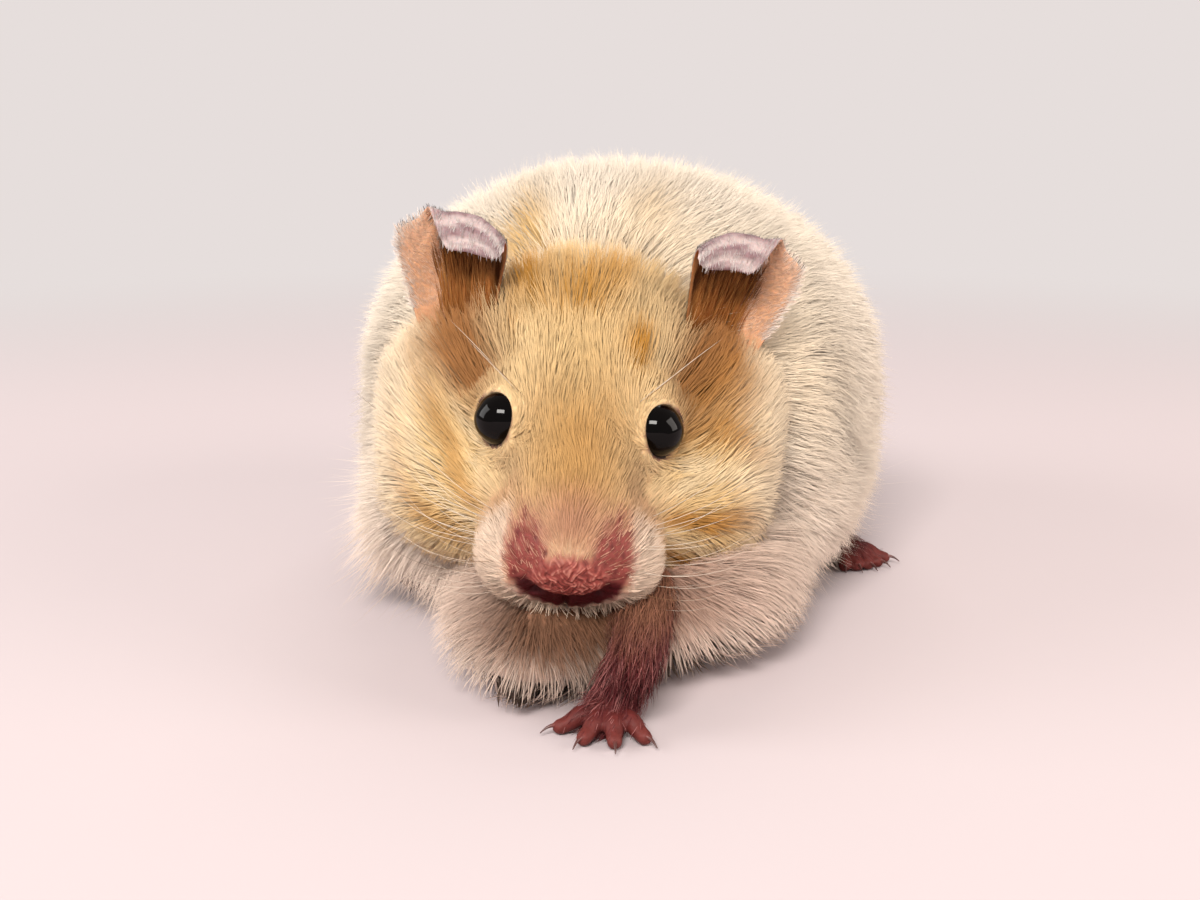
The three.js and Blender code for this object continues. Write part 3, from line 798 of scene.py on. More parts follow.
def head_markings(points):
    """Coat colours over the head, from masks in its own frame: cream, with a golden bridge that is
    darker between the eyes, partly with painted shade, wavy ochre streaks on the cheeks, ochre
    spots on the crown, brown before the ears, a rosy muzzle, pale lips and a paler rim at the back."""
    x, y, z = points.T
    side = np.abs(x)
    cream = mixed(linear("#F4D6A6"), linear("#F5E0C2"), smooth(side, 18, 27))
    cream = mixed(cream, linear("#E6C492"), smooth(z, 9, 15) * smooth(y, 8, 18))
    bridge = np.exp(-((x / 8.5) ** 2)) * smooth(y, -22, -17) * smooth(z, -12, -7) * (1 - smooth(z, 9, 15))
    # The bridge's gold is darker low down between the eyes: partly its own colour, partly painted shade.
    gold = mixed(linear("#C29159"), linear("#C89A60"), smooth(z, -4, 1))
    gold = mixed(gold, linear("#E0BC86"), smooth(z, 3, 9))
    gold = mixed(gold, linear("#BC8A6C"), smooth(-y, 10, 16))
    colours = mixed(cream, gold, bridge)
    fan = np.arctan2(z + 9, side + 1)
    wave = np.sin(16 * fan + 0.5 * x + 1.3 * np.sin(0.35 * y + 0.2 * x))
    cheek = smooth(side, 10, 14) * (1 - smooth(side, 22, 28)) * smooth(-z, -4, 4) * (1 - smooth(-z, 17, 23))
    colours = mixed(colours, linear("#EBC283"), cheek * 0.6)
    colours = mixed(colours, linear("#BE8232"), cheek * smooth(wave, 0.1, 0.9) * np.where(x > 0, 0.85, 0.55))
    colours = mixed(colours, linear("#F8E2BD"), cheek * smooth(-wave, 0.5, 1.0) * 0.6)
    ochre = spot(points, -1.3, 13.2, 14.2, [4.5, 4, 3.5]) + spot(points, 7.3, 7.3, 9.6, [2.2, 2.5, 3.4])
    ochre += spot(points, -8.5, 18, 13.5, [2.6, 6, 6]) + 0.6 * spot(points, 4.0, 17, 15, [2.6, 4, 4])
    colours = mixed(colours, linear("#C2841F"), np.minimum(1.25 * ochre, 1) * 0.9)
    mirrored = np.stack([side, y, z], axis=1)
    before_ear = spot(mirrored, 17.5, 14, 5.5, [5.4, 9.5, 6.6])
    before_ear += 0.8 * spot(mirrored, 14.5, 6, 4.2, [3.0, 5, 3.2])
    colours = mixed(colours, linear("#9A5C24"), np.minimum(1.15 * before_ear, 1) * 0.88)
    temple = np.minimum(1.3 * spot(points, 18.5, 7.5, 1.8, [5.5, 6, 4]), 1)
    colours = mixed(colours, linear("#BB8546"), 0.65 * temple)
    rosy = np.exp(-(((side - 8) / 5.5) ** 2) - ((z + 6.5) / 4.5) ** 2) * smooth(-y, 1, 8)
    colours = mixed(colours, linear("#DFA886"), rosy * 0.6)
    colours = mixed(colours, linear("#F6DCC6"), lip_share(points) * 0.9)
    throat = smooth(-z, 17, 23)
    colours = mixed(colours, linear("#DCC0A4"), throat * (1 - smooth(-y, 4, 10)))
    rim = np.maximum(smooth(side, 18, 26), smooth(y, 19, 26))
    return mixed(colours, linear("#F7E2C6"), rim * 0.75)


def head_skin_colours(points):
    """The same markings on the bare skin, with the pink patch and painted shade in its pits, the
    rough nose pad with painted highlights on its lumps and painted shade in its hollows, painted
    shade in the groove, nostrils and cleft, and the pinkish lids."""
    marks = muzzle_marks(points)
    x, _, z = points.T
    ahead, aside = eye_view(points)
    lid = (1 - smooth(aside, 3.4, 3.8)) * smooth(ahead, 0, 1)
    raised = points + outward(points, head_gap) * head_depth(points)[:, None]
    colours = mixed(head_markings(raised) * 0.85, linear("#6B463A"), lid)
    colours = mixed(colours, linear("#1E0F0D"), (1 - smooth(aside, 3.25, 3.5)) * smooth(ahead, 0, 1))
    colours = mixed(colours, linear("#783832"), marks["patch"])
    # Painted shade: dark spots for the shade down in the pits of the bare patch.
    pits = smooth(np.sin(2.9 * x + 0.8 * z) * np.sin(2.7 * z - 0.5 * x), 0.5, 0.9)
    colours = mixed(colours, linear("#4E1A18"), pits * marks["patch"] * (1 - marks["pad"]) * 0.7)
    colours = mixed(colours, linear("#7C3731"), marks["pad"] * 0.9)
    # Painted highlight on the nose pad's raised lumps, then painted shade in its hollows, both following the
    # crumple that shapes it.
    colours = mixed(colours, linear("#C07F70"), smooth(-crumple(points), 0.1, 1.2) * marks["pad"] * 0.6)
    colours = mixed(colours, linear("#3E1412"), smooth(crumple(points), 0.3, 1.3) * marks["pad"] * 0.6)
    # Painted shade: dark maroon in the groove, the nostrils and the cleft, which are pressed into the skin.
    dark = np.clip(1.7 * marks["groove"] + 1.3 * marks["nostril"] + marks["cleft"], 0, 1)
    return mixed(colours, linear("#430D12"), dark)


def body_markings(points):
    """Pale cream above, warmer behind the head with ochre streaks on the nape, rosier low on the
    sides, and brown on the breast under the muzzle and chin, partly its own colour and partly
    painted shade from the head over it."""
    x, y, z = points.T
    low = 1 - smooth(z + 0.15 * y, 4, 30)
    colours = mixed(linear("#F9EBD9"), linear("#F6E0D0"), low)
    behind = smooth(z, 16, 34) * (1 - smooth(y, 10, 34))
    colours = mixed(colours, linear("#F5DEBC"), behind * 0.6)
    streak = spot(points, -11.5, 18, 53, [3.5, 12, 9]) + 0.35 * spot(points, 6, 22, 56, [4, 10, 6])
    colours = mixed(colours, linear("#D8AA5C"), np.minimum(1.2 * streak, 1) * 0.8)
    # Painted shade under the head: brown, deepest under the chin, partly the breast's own colour and partly
    # the shade that falls there.
    level = smooth(z, 2, 10) * (1 - smooth(z, 18, 24))
    brown_and_shade_under_muzzle = np.exp(-(((x - 5) / 20) ** 2)) * (1 - smooth(y, 0, 14)) * level
    colours = mixed(colours, linear("#AC7A64"), brown_and_shade_under_muzzle * 0.85)
    brown_and_shade_under_chin = spot(points, 1, -25, 10.5, [12.5, 11, 6])
    return mixed(colours, linear("#6A4429"), np.minimum(brown_and_shade_under_chin * 1.4, 1) * 0.85)


CREASE_SIZE, PORE_SPACING, CREASE_DEPTH = 0.9, 1.1, 0.25


def skin_finish():
    """Bare animal skin, thin and slightly moist: soft gloss, uneven creases a little under a
    millimetre across, and pores where single hairs grow; the colour darkens with the relief, with
    painted shade down in the creases and pores as well as uneven skin."""
    made, tree = material("bare_skin")
    place = add(tree, "ShaderNodeTexCoord").outputs["Object"]
    tint = add(tree, "ShaderNodeAttribute", attribute_name="pelage").outputs["Color"]
    grain = {"Vector": place, "Scale": 1 / (CREASE_SIZE * MM), "Detail": 4.0, "Roughness": 0.65}
    creases = add(tree, "ShaderNodeTexNoise", grain)
    spacing = {"Vector": place, "Scale": 1 / (PORE_SPACING * MM), "Randomness": 0.9}
    pores = add(tree, "ShaderNodeTexVoronoi", spacing)
    pit = add(tree, "ShaderNodeMapRange", {
        "Value": pores.outputs["Distance"], "From Min": 0.1, "From Max": 0.32, "To Min": 0.93, "To Max": 1.0,
    })
    blotch = add(tree, "ShaderNodeMapRange", {
        "Value": creases.outputs["Fac"], "From Min": 0.3, "From Max": 0.7, "To Min": 0.78, "To Max": 1.14,
    })
    # Painted shade: the relief that makes the bump also darkens the colour, down in the creases and pores.
    both = add(tree, "ShaderNodeMath", {0: pit.outputs[0], 1: blotch.outputs[0]}, operation="MULTIPLY")
    colour = add(tree, "ShaderNodeVectorMath", {0: tint, "Scale": both.outputs[0]}, operation="SCALE")
    relief = {"Height": both.outputs[0], "Strength": 0.5, "Distance": CREASE_DEPTH * MM}
    bump = add(tree, "ShaderNodeBump", relief)
    shader = add(tree, "ShaderNodeBsdfPrincipled", {
        "Base Color": colour.outputs[0],
        "Normal": bump.outputs[0],
        "Roughness": 0.55,
        "Specular IOR Level": 0.18,
        "Subsurface Weight": 0.12,
        "Subsurface Scale": 0.8 * MM,
        "Subsurface Radius": (1.0, 0.35, 0.2),
    })
    add(tree, "ShaderNodeOutputMaterial", {"Surface": shader.outputs[0]})
    return made


bare_skin = skin_finish()


def wrapped_part(name, grid, place, colours):
    """Closed object from a wrapped grid in its own frame."""
    local = grid.reshape(-1, 3)
    made = mesh_object(name, place(local), grid_faces(grid.shape[0] - 1, grid.shape[1]), bare_skin)
    paint(made, colours(local))
    return welded(made)


tail_path = np.array([[0, 72, 14], [0, 80, 13], [0, 86, 10.5], [0, 91, 7.6]])
tail_grid = tube(tail_path, [3.6, 3.0, 2.2, 1.3])
skin = wrapped_part("skin", trunk_grid, from_body, body_markings)
others = [wrapped_part("head_part", head_grid, from_head, head_skin_colours)]
others.append(wrapped_part("breast_part", breast_grid, from_body, body_markings))
others.append(wrapped_part("elbow_part", elbow_grid, from_body, body_markings))
others += [ear_part(side, bare_skin) for side in (1, -1)]
others += [foot_part(foot, bare_skin) for foot in FEET.values()]
others.append(wrapped_part("tail_part", tail_grid, from_body, body_markings))
for part in others:
    modifier(skin, "BOOLEAN", operation="UNION", object=welded(part), solver="MANIFOLD")
settled(skin)
for part in others:
    bpy.data.objects.remove(part)
if "sharp_face" in skin.data.attributes:
    skin.data.attributes.remove(skin.data.attributes["sharp_face"])
FLESH = [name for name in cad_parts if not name.startswith("eye_")]
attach(skin, "root")
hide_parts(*FLESH)

# ---- Eyes ----
# Round, black and wet, so dark that the pupil doesn't show apart from the iris. Each is a little
# fuller in front, under the cornea.


def eye_finish():
    """Cornea over a near-black iris: mirror gloss, with a brown depth seen only in strong light."""
    made, tree = material("wet_black_eye")
    rim = add(tree, "ShaderNodeLayerWeight", {"Blend": 0.35}).outputs["Facing"]
    iris = {0: rim, "A": (*linear("#030202"), 1), "B": (*linear("#0C0605"), 1)}
    tint = add(tree, "ShaderNodeMix", iris, data_type="RGBA").outputs["Result"]
    cornea = {"Base Color": tint, "Roughness": 0.04, "IOR": 1.38, "Specular IOR Level": 0.24}
    shader = add(tree, "ShaderNodeBsdfPrincipled", cornea)
    add(tree, "ShaderNodeOutputMaterial", {"Surface": shader.outputs[0]})
    return made


def eye_grid(side, rings=40, around=56):
    """Sphere with a bulge of a twentieth of its radius round the way it looks."""
    polar = np.linspace(0, math.pi, rings + 1)[:, None]
    turn = np.arange(around)[None, :] * 2 * math.pi / around
    ring = np.sin(polar)
    way = np.stack([np.cos(polar) + 0 * turn, ring * np.cos(turn), ring * np.sin(turn)], axis=-1)
    bulge = 0.05 * smooth(way @ EYE_LOOKS, 0.75, 1.0)
    ball = way * (EYE_RADIUS * (1 + bulge))[..., None] + [EYE_SPREAD, EYE_BACK, 0]
    return ball * [side, 1, 1]


black_eye = eye_finish()
for side, name in ((1, "left"), (-1, "right")):
    ball = eye_grid(side)
    faces = grid_faces(ball.shape[0] - 1, ball.shape[1])
    eye = welded(mesh_object(f"eyeball_{name}", from_head(ball.reshape(-1, 3)), faces, black_eye))
    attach(eye, "root")
    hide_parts(f"eye_{name}")

# ---- Claws ----
# One short curved claw of dark horn at the end of each toe, growing out of the toe's upper side
# and bending down to a blunt point just over the floor.
CLAW_LENGTH, CLAW_ROOT, CLAW_POINT = 2.0, 0.34, 0.07


def claw_finish():
    """Keratin, polished by wear: dark horn, rosier at the root where the quick shows through."""
    made, tree = material("dark_horn")
    tint = add(tree, "ShaderNodeAttribute", attribute_name="pelage").outputs["Color"]
    shader = add(tree, "ShaderNodeBsdfPrincipled", {"Base Color": tint, "Roughness": 0.35})
    add(tree, "ShaderNodeOutputMaterial", {"Surface": shader.outputs[0]})
    return made


def claw_grid(foot, fan, steps=8):
    """Tapering tube along a quarter bend: out from the toe's tip and down towards the floor."""
    tip = toe_path(foot, fan)[-1]
    way = np.array([math.sin(math.radians(fan)), -math.cos(math.radians(fan)), 0])
    t = np.linspace(0, 1, steps)
    out = (CLAW_LENGTH * t)[:, None] * way + way * 0.35
    drop = 0.25 + 0.35 * np.sin(math.pi / 2 * t * 0.8) - 0.95 * t ** 2
    path = tip + out + np.stack([0 * t, 0 * t, drop], axis=1)
    path[:, 2] = np.maximum(path[:, 2], CLAW_POINT + 0.12)
    return tube(path, CLAW_ROOT + (CLAW_POINT - CLAW_ROOT) * t ** 0.8, 8, 2)


claw_grids = [claw_grid(foot, fan) for foot in FEET.values() for fan in foot[-1]]
claws = joined_grids("claws", [moved(grid, from_body) for grid in claw_grids], claw_finish())
rows, around = claw_grids[0].shape[:2]
along_claw = np.tile(np.repeat(np.linspace(0, 1, rows), around), len(claw_grids))
paint(claws, mixed(linear("#7A3B36"), linear("#4A2A26"), smooth(along_claw, 0.1, 0.6)))
welded(claws)
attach(claws, "root")

# ---- Coat ----
# Long fine fur in locks. Every tuft is a thin closed blade of three sides that leaves the skin at
# a slant, bends over until it nearly lies along it, and draws together with its neighbours at the
# tip. It is made in pieces, one for each part of the body.
PATCH = 0.003  # each tuft's share of the unwrap of the skin
ROOT_SUNK = 0.04  # share of a tuft's length that starts under the skin
LAST_RING = {2: 0.62, 3: 0.78, 8: 0.78}  # where the last ring before the point lies
RIDGE = 0.7  # height of a tuft's third side over its half-width
TONE = 0.06  # how much lighter or darker single tufts are
LOWEST_HAIR = 0.08  # no point of a tuft lies lower over the floor
STREAK_SIZE = 2.2
THROUGH_HAIR = 0.3  # share of the light that passes through the hair
NEXT_UNWRAP = 1.1  # each form's unwrap starts this far beyond the one before
draw = np.random.default_rng(11)


def coat_finish(name, shade, sheen=0.03):
    """Hair: matt and translucent, a little darker down at the roots with painted shade of the coat's
    depth, with a soft sheen and uneven streaks about two millimetres across."""
    made, tree = material(name)
    tint = add(tree, "ShaderNodeAttribute", attribute_name="pelage").outputs["Color"]
    along = add(tree, "ShaderNodeAttribute", attribute_name="along").outputs["Fac"]
    place = add(tree, "ShaderNodeTexCoord").outputs["Object"]
    grain = {"Vector": place, "Scale": 1 / (STREAK_SIZE * MM), "Detail": 2.0}
    streaks = add(tree, "ShaderNodeTexNoise", grain)
    uneven = add(tree, "ShaderNodeMapRange", {
        "Value": streaks.outputs["Fac"], "From Min": 0.3, "From Max": 0.7, "To Min": 0.9, "To Max": 1.08,
    })
    # Painted shade: the colour falls to the shade share from the tips down to the roots, for the depth of
    # the coat.
    depth = add(tree, "ShaderNodeMapRange", {
        "Value": along, "From Min": 0.0, "From Max": 0.75, "To Min": shade, "To Max": 1.0,
    })
    level = add(tree, "ShaderNodeMath", {0: uneven.outputs[0], 1: depth.outputs[0]}, operation="MULTIPLY")
    colour = add(tree, "ShaderNodeVectorMath", {0: tint, "Scale": level.outputs[0]}, operation="SCALE")
    shader = add(tree, "ShaderNodeBsdfPrincipled", {
        "Base Color": colour.outputs[0],
        "Roughness": 0.7,
        "Specular IOR Level": 0.1,
        "Sheen Weight": sheen,
        "Sheen Roughness": 0.5,
    })
    through = add(tree, "ShaderNodeBsdfTranslucent", {"Color": colour.outputs[0]})
    both = {0: THROUGH_HAIR, 1: shader.outputs[0], 2: through.outputs[0]}
    shader = add(tree, "ShaderNodeMixShader", both)
    add(tree, "ShaderNodeOutputMaterial", {"Surface": shader.outputs[0]})
    return made


def scattered(grid, density):
    """Roots spread over a grid of rows that close on themselves: quads are walked in order, the
    wanted number on each is its area times the density there, and every whole step of the running
    total sets one root. Returns the roots and their place on the grid, across and along."""
    beside = np.roll(grid, -1, axis=1)
    quads = np.stack([grid[:-1], beside[:-1], beside[1:], grid[1:]], axis=2).reshape(-1, 4, 3)
    one = np.linalg.norm(np.cross(quads[:, 1] - quads[:, 0], quads[:, 2] - quads[:, 0]), axis=1)
    two = np.linalg.norm(np.cross(quads[:, 2] - quads[:, 0], quads[:, 3] - quads[:, 0]), axis=1)
    wanted = (one + two) / 2 * density(quads.mean(axis=1))
    total = np.cumsum(wanted)
    marks = np.arange(int(total[-1])) + draw.random(int(total[-1]))
    quad = np.minimum(np.searchsorted(total, marks), len(quads) - 1)
    a, b = draw.random((2, len(quad)))
    corner = quads[quad]
    near = corner[:, 0] * (1 - a)[:, None] + corner[:, 1] * a[:, None]
    far = corner[:, 3] * (1 - a)[:, None] + corner[:, 2] * a[:, None]
    around = grid.shape[1]
    across = (quad % around + a) / around
    along = (quad // around + b) / (grid.shape[0] - 1)
    return near * (1 - b)[:, None] + far * b[:, None], np.stack([across, along], axis=1)


def flattened(way, out):
    """Part of a direction that lies in the skin, at unit length."""
    way = way - out * (way * out).sum(axis=1, keepdims=True)
    return way / np.maximum(np.linalg.norm(way, axis=1, keepdims=True), 1e-9)


def swirled(way, out, angle):
    """A direction in the skin turned about the outward one by an angle for each root."""
    return way * np.cos(angle)[:, None] + np.cross(out, way) * np.sin(angle)[:, None]


def gathered(tips, size, offset):
    """Mean tip of each cube of the given size, for drawing tufts into locks."""
    cell = np.floor((tips + offset) / size).astype(np.int64)
    most = 2048  # more cubes than lie side by side in any direction
    key = (cell[:, 0] * most + cell[:, 1]) * most + cell[:, 2]
    _, group = np.unique(key, return_inverse=True)
    count = np.bincount(group)
    return np.stack([np.bincount(group, tips[:, i])[group] / count[group] for i in range(3)], axis=1)


def slanted(out, lie, angle):
    """Direction at an angle in degrees over the skin, towards the lie of the coat."""
    angle = np.radians(angle)[:, None]
    return lie * np.cos(angle) + out * np.sin(angle)


def tufts(root, out, lie, length, width, lift, end_lift, stations, lock, pull, curl=0.0):
    """Points of every tuft, in rows from root to tip, and how far along it each row lies. The
    centre line starts at the lift angle over the skin and turns evenly to the end lift; its tip is
    pulled towards the middle of its lock, and a sine curls it sideways; the section is a flat
    triangle whose half-width swells a little and runs out to nothing."""
    start, end = slanted(out, lie, lift), slanted(out, lie, end_lift)
    t = np.append(np.linspace(-ROOT_SUNK, LAST_RING[stations], stations), 1.0)
    span = length[:, None]
    tip = root + span * (start + end) / 2
    middle = gathered(tip, lock, draw.random(3) * 10)
    bend = (middle - tip) * pull
    side = np.cross(out, lie)
    phase = draw.random(len(root)) * 2 * math.pi
    rows = []
    for s in t:
        line = root + span * (start * s + (end - start) * s * s / 2) + bend * max(s, 0) ** 2
        rows.append(line + side * (curl * length * np.sin(phase + 5.0 * s) * max(s, 0))[:, None])
    rows = np.stack(rows, axis=1)
    along = np.gradient(rows, axis=1)
    along /= np.maximum(np.linalg.norm(along, axis=2, keepdims=True), 1e-9)
    across = np.cross(along, out[:, None])
    across /= np.maximum(np.linalg.norm(across, axis=2, keepdims=True), 1e-9)
    ridge = np.cross(across, along)
    t = np.maximum(t, 0)
    half = (width[:, None] / 2 * (0.75 + 0.9 * t - 1.65 * t ** 2.2)[None, :])[..., None]
    left, right, top = rows - across * half, rows + across * half, rows + ridge * half * RIDGE
    rings = np.stack([left, right, top], axis=2)[:, :-1].reshape(len(root), -1, 3)
    return np.concatenate([rings, rows[:, -1:]], axis=1), t


def blade_faces(stations):
    """Triangles of one tuft: a root cap, three sides between stations, and the point."""
    faces = [(0, 1, 2)]
    for ring in range(stations - 1):
        for a, b in ((0, 1), (1, 2), (2, 0)):
            low, high = ring * 3, ring * 3 + 3
            faces += [(low + a, high + a, high + b), (low + a, high + b, low + b)]
    last, tip = stations * 3 - 3, stations * 3
    faces += [(last + a, tip, last + b) for a, b in ((0, 1), (1, 2), (2, 0))]
    return np.array(faces)


def coat_piece(name, points, t, colours, place, finish, lean, facing):
    """One piece of coat: mesh, hair colours, distance along each tuft, patch of the unwrap, and
    shading that leans by a share towards one direction for each tuft, as in a soft mass of hair."""
    count, each = points.shape[:2]
    stations = (each - 1) // 3
    pattern = blade_faces(stations)
    faces = (pattern[None] + (np.arange(count) * each)[:, None, None]).reshape(-1, 3)
    level = points.reshape(-1, 3).copy()
    level[:, 2] = np.maximum(level[:, 2], LOWEST_HAIR)
    made = mesh_object(name, level, faces, finish)
    shade = (1 + TONE * (draw.random(count) * 2 - 1))[:, None]
    paint(made, np.repeat(colours * shade, each, axis=0))
    row = np.append(np.repeat(np.arange(stations), 3), stations)
    layer = made.data.attributes.new("along", "FLOAT", "POINT")
    layer.data.foreach_set("value", np.tile(t[row], count).astype(np.float32))
    corner = np.append(np.tile([0.0, 1.0, 0.5], stations), 0.5)
    patch = np.stack([corner - 0.5, t[row] - 0.5], axis=1) * PATCH
    spread = place - place.min(axis=0)
    spread = spread / np.maximum(spread.max(axis=0), 1e-9) * (1 - 2 * PATCH) + PATCH
    uv = (spread[:, None] + patch[None]).reshape(-1, 2)[faces.ravel()]
    layer = made.data.uv_layers.new(name="OFBake")
    layer.data.foreach_set("uv", uv.astype(np.float32).ravel())
    shading = normals(made) * (1 - lean) + np.repeat(facing, each, axis=0) * lean
    shading /= np.maximum(np.linalg.norm(shading, axis=1, keepdims=True), 1e-9)
    made.data.normals_split_custom_set_from_vertices(shading.astype(np.float32))
    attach(made, "root")


def clear_of_eyes(points):
    """True for tufts that keep off both eyeballs and out of the round opening before each."""
    ahead, aside = eye_view(points)
    blocking = (ahead > 0) & (aside < 2.9)
    touching = np.hypot(ahead, aside) < EYE_RADIUS + 0.1
    return ~(blocking | touching).any(axis=1)


HEAD_SOURCE = np.array([0, -27, -9])  # the coat of the head lies away from this point


def ruff_share(points):
    """How far a point of the head lies on the cheeks' lower edge, where the coat hangs longest."""
    x, y, z = points.T
    return smooth(-z, 9, 15) * smooth(np.abs(x), 7, 11) * (1 - smooth(y, 12, 20))


def head_lie(root, out):
    """Away from the nose, a little downward on the cheeks, and round the eyes, not over them."""
    way = root - HEAD_SOURCE
    way /= np.linalg.norm(way, axis=1, keepdims=True)
    way = way - np.outer(smooth(-root[:, 2], 2, 16) * 0.35 + 0.6 * ruff_share(root), [0, 0, 1.0])
    eye = np.stack([np.sign(root[:, 0]) * EYE_SPREAD, 0 * root[:, 0] + EYE_BACK, 0 * root[:, 0]], axis=1)
    away = root - eye
    far = np.linalg.norm(away, axis=1, keepdims=True)
    away /= far
    into = np.minimum((way * away).sum(axis=1, keepdims=True), 0)
    way = way - away * (into - 0.25) * (1 - smooth(far, 4.5, 9))
    return flattened(way, out)


def head_density(points):
    """Tufts for each square millimetre: most on the face, few on the pink patch, and none on the
    nose pad, in the lids or inside the body."""
    marks = muzzle_marks(points)
    count = np.interp(points[:, 1], [-20, -8, 4, 14, 26], [12, 12, 10, 8.5, 7])
    low = smooth(-points[:, 2], 7.8, 9.3)
    bare = (0.65 + low) * marks["patch"] + 1.5 * marks["groove"] + marks["cleft"] + 0.1 * marks["pad"]
    ahead, aside = eye_view(points)
    count = count * (1 - np.clip(bare, 0, 1)) * (1 - marks["pad"])
    count = count * np.where(ahead > 0, smooth(aside, 3.3, 3.5), 1)
    buried = trunk_skin(to_body(from_head(points))) < 0.4
    return np.where(buried, 0, count)


def choose(arrays, keep):
    """The same rows of each array."""
    return [array[keep] for array in arrays]


def waves(root, strength, first, second):
    """Angles that turn the coat in broad waves: the product of two sines, each of two of the
    root's coordinates and a phase."""
    (across, up, start), (back, down, late) = first, second
    x, y, z = root.T
    return strength * np.sin(across * x + up * z + start) * np.sin(back * y + down * z + late)


face_coat = coat_finish("short_gold_hair", 0.86)
long_coat = coat_finish("long_cream_hair", 0.86)

root, place = scattered(head_grid, head_density)
out = outward(root, head_skin)
wander = waves(root, 0.28, (0.55, 0.4, 1.0), (0.5, -0.3, 0))
lie = swirled(head_lie(root, out), out, 1.2 * wander + 0.09 * draw.standard_normal(len(root)))
x, y, z = root.T
MUZZLE_END, FACE_END = -7, 7
CROWN_HALF, CROWN_LOW = 10, 5  # half the crown's width, and where it begins above the cheeks
behind_face = y >= FACE_END
HEAD_PARTS = {
    "coat_muzzle": (y < MUZZLE_END),
    "coat_face": (y >= MUZZLE_END) & ~behind_face,
    "coat_cheek_left": behind_face & (x > CROWN_HALF) & (z < CROWN_LOW),
    "coat_cheek_right": behind_face & (x < -CROWN_HALF) & (z < CROWN_LOW),
    "coat_crown": behind_face & ((np.abs(x) <= CROWN_HALF) | (z >= CROWN_LOW)),
}
SHORT_COAT = ("coat_muzzle", "coat_face")


def cheek_hair():
    """Hair of a cheek, on either side."""
    return (36, 8, 0.14, 3, 2.4, 0.35, 0.03)


def long_hair(width):
    """Hair of the long coat, which differs over the body only in width."""
    return (38, 10, width, 2, 3.6, 0.25, 0.05)


HAIR = {  # lift at the root, lift at the tip, width in mm, stations, lock in mm, pull, curl
    "coat_muzzle": (24, 2, 0.12, 2, 0.8, 0.2, 0.0),
    "coat_face": (24, 3, 0.14, 2, 1.3, 0.25, 0.02),
    "coat_cheek_left": cheek_hair(),
    "coat_cheek_right": cheek_hair(),
    "coat_crown": (40, 14, 0.15, 3, 2.8, 0.35, 0.05),
    "coat_breast": (30, 4, 0.12, 3, 2.2, 0.16, 0.03),
    "coat_ruff": long_hair(0.14),
    "coat_flank_left": long_hair(0.17),
    "coat_flank_right": long_hair(0.17),
    "coat_back": long_hair(0.16),
    "coat_rump": long_hair(0.22),
    "coat_belly": (36, 10, 0.4, 2, 2.6, 0.3, 0.03),
}
LIFT_NOISE, END_LIFT_NOISE = 5, 4  # spread of the two lifts, in degrees
STRAYS = 0.15  # share of tufts that stand up out of the coat
STRAY_LIFT, STRAY_END_LIFT = 12, 26
SHOWN_AT = 0.67  # where along a tuft it shows, and takes its colour from
COAT_LEAN = 0.75  # how far the shading leans towards the way out of the skin


def fitted(root, out, lie, lift, end_lift, form, reach):
    """Length of each tuft for which its tip, halfway between the start and end headings, comes to
    its own height inside the tips of the whole coat: halved again and again between bounds."""
    middle = (slanted(out, lie, lift) + slanted(out, lie, end_lift)) / 2
    depth = np.maximum(-form(root), 0.15)
    goal = -depth * (1 - reach)
    short, long = np.zeros(len(root)), 3.2 * depth + 0.3
    for _ in range(12):
        half = (short + long) / 2
        over = form(root + middle * half[:, None]) > goal
        short, long = np.where(over, short, half), np.where(over, half, long)
    return half


def grow(name, keep, roots, region, finish, check=None):
    """One piece of the coat from its roots: lengths that reach the tips of the coat, then the mesh.

    Roots are arrays of place, way out, lie, place on the unwrap, share by which to stretch, lift to
    add, and the way that the shading faces. A region is the form of the coat's tips, its markings,
    and the change of frame and turn that place it. A tuft takes the marking of the place where it
    shows. A check drops the tufts that may not stand.
    """
    root, out, lie, place, stretch, lifted, facing = choose(roots, keep)
    form, markings, to_model, turn = region
    lift, end_lift, width, stations, lock, pull, curl = HAIR[name]
    count = len(root)
    lift = lift + lifted + LIFT_NOISE * draw.standard_normal(count)
    end_lift = end_lift + lifted + END_LIFT_NOISE * draw.standard_normal(count)
    stray = (draw.random(count) < STRAYS) * (0.4 if name in SHORT_COAT else 1.0)
    lift, end_lift = lift + STRAY_LIFT * stray, end_lift + STRAY_END_LIFT * stray
    shortest = 0.35 if name == "coat_breast" else 0.7  # share of the coat's depth
    reach = shortest + (1 - shortest) * draw.random(count) + 0.25 * stray
    length = fitted(root, out, lie, lift, end_lift, form, reach) * (1 + stretch * draw.random(count))
    shown = root + slanted(out, lie, (lift + end_lift) / 2) * length[:, None] * SHOWN_AT
    colours = markings(shown)
    width = width * (0.75 + 0.5 * draw.random(count)) * np.where(stray > 0, 0.5, 1)
    width = np.minimum(width, length * 0.16)
    points, t = tufts(root, out, lie, length, width, lift, end_lift, stations, lock, pull, curl)
    if check is not None:
        points, facing, place, colours = choose([points, facing, place, colours], check(points))
    points = moved(points, to_model)
    coat_piece(name, points, t, colours, place, finish, lean=COAT_LEAN, facing=facing @ turn.T)


def head_hair_colours(points):
    """The markings of the head, rosier where single hairs stand on the bare patch."""
    marks = muzzle_marks(points)
    x, _, z = points.T
    fleck = smooth(np.sin(17 * x + 9 * z) * np.sin(11 * z - 7 * x + 2), -0.5, 0.5)
    rosy = mixed(linear("#7A302C"), linear("#C48E7C"), fleck)
    return mixed(head_markings(points), rosy, marks["patch"] * 0.85)


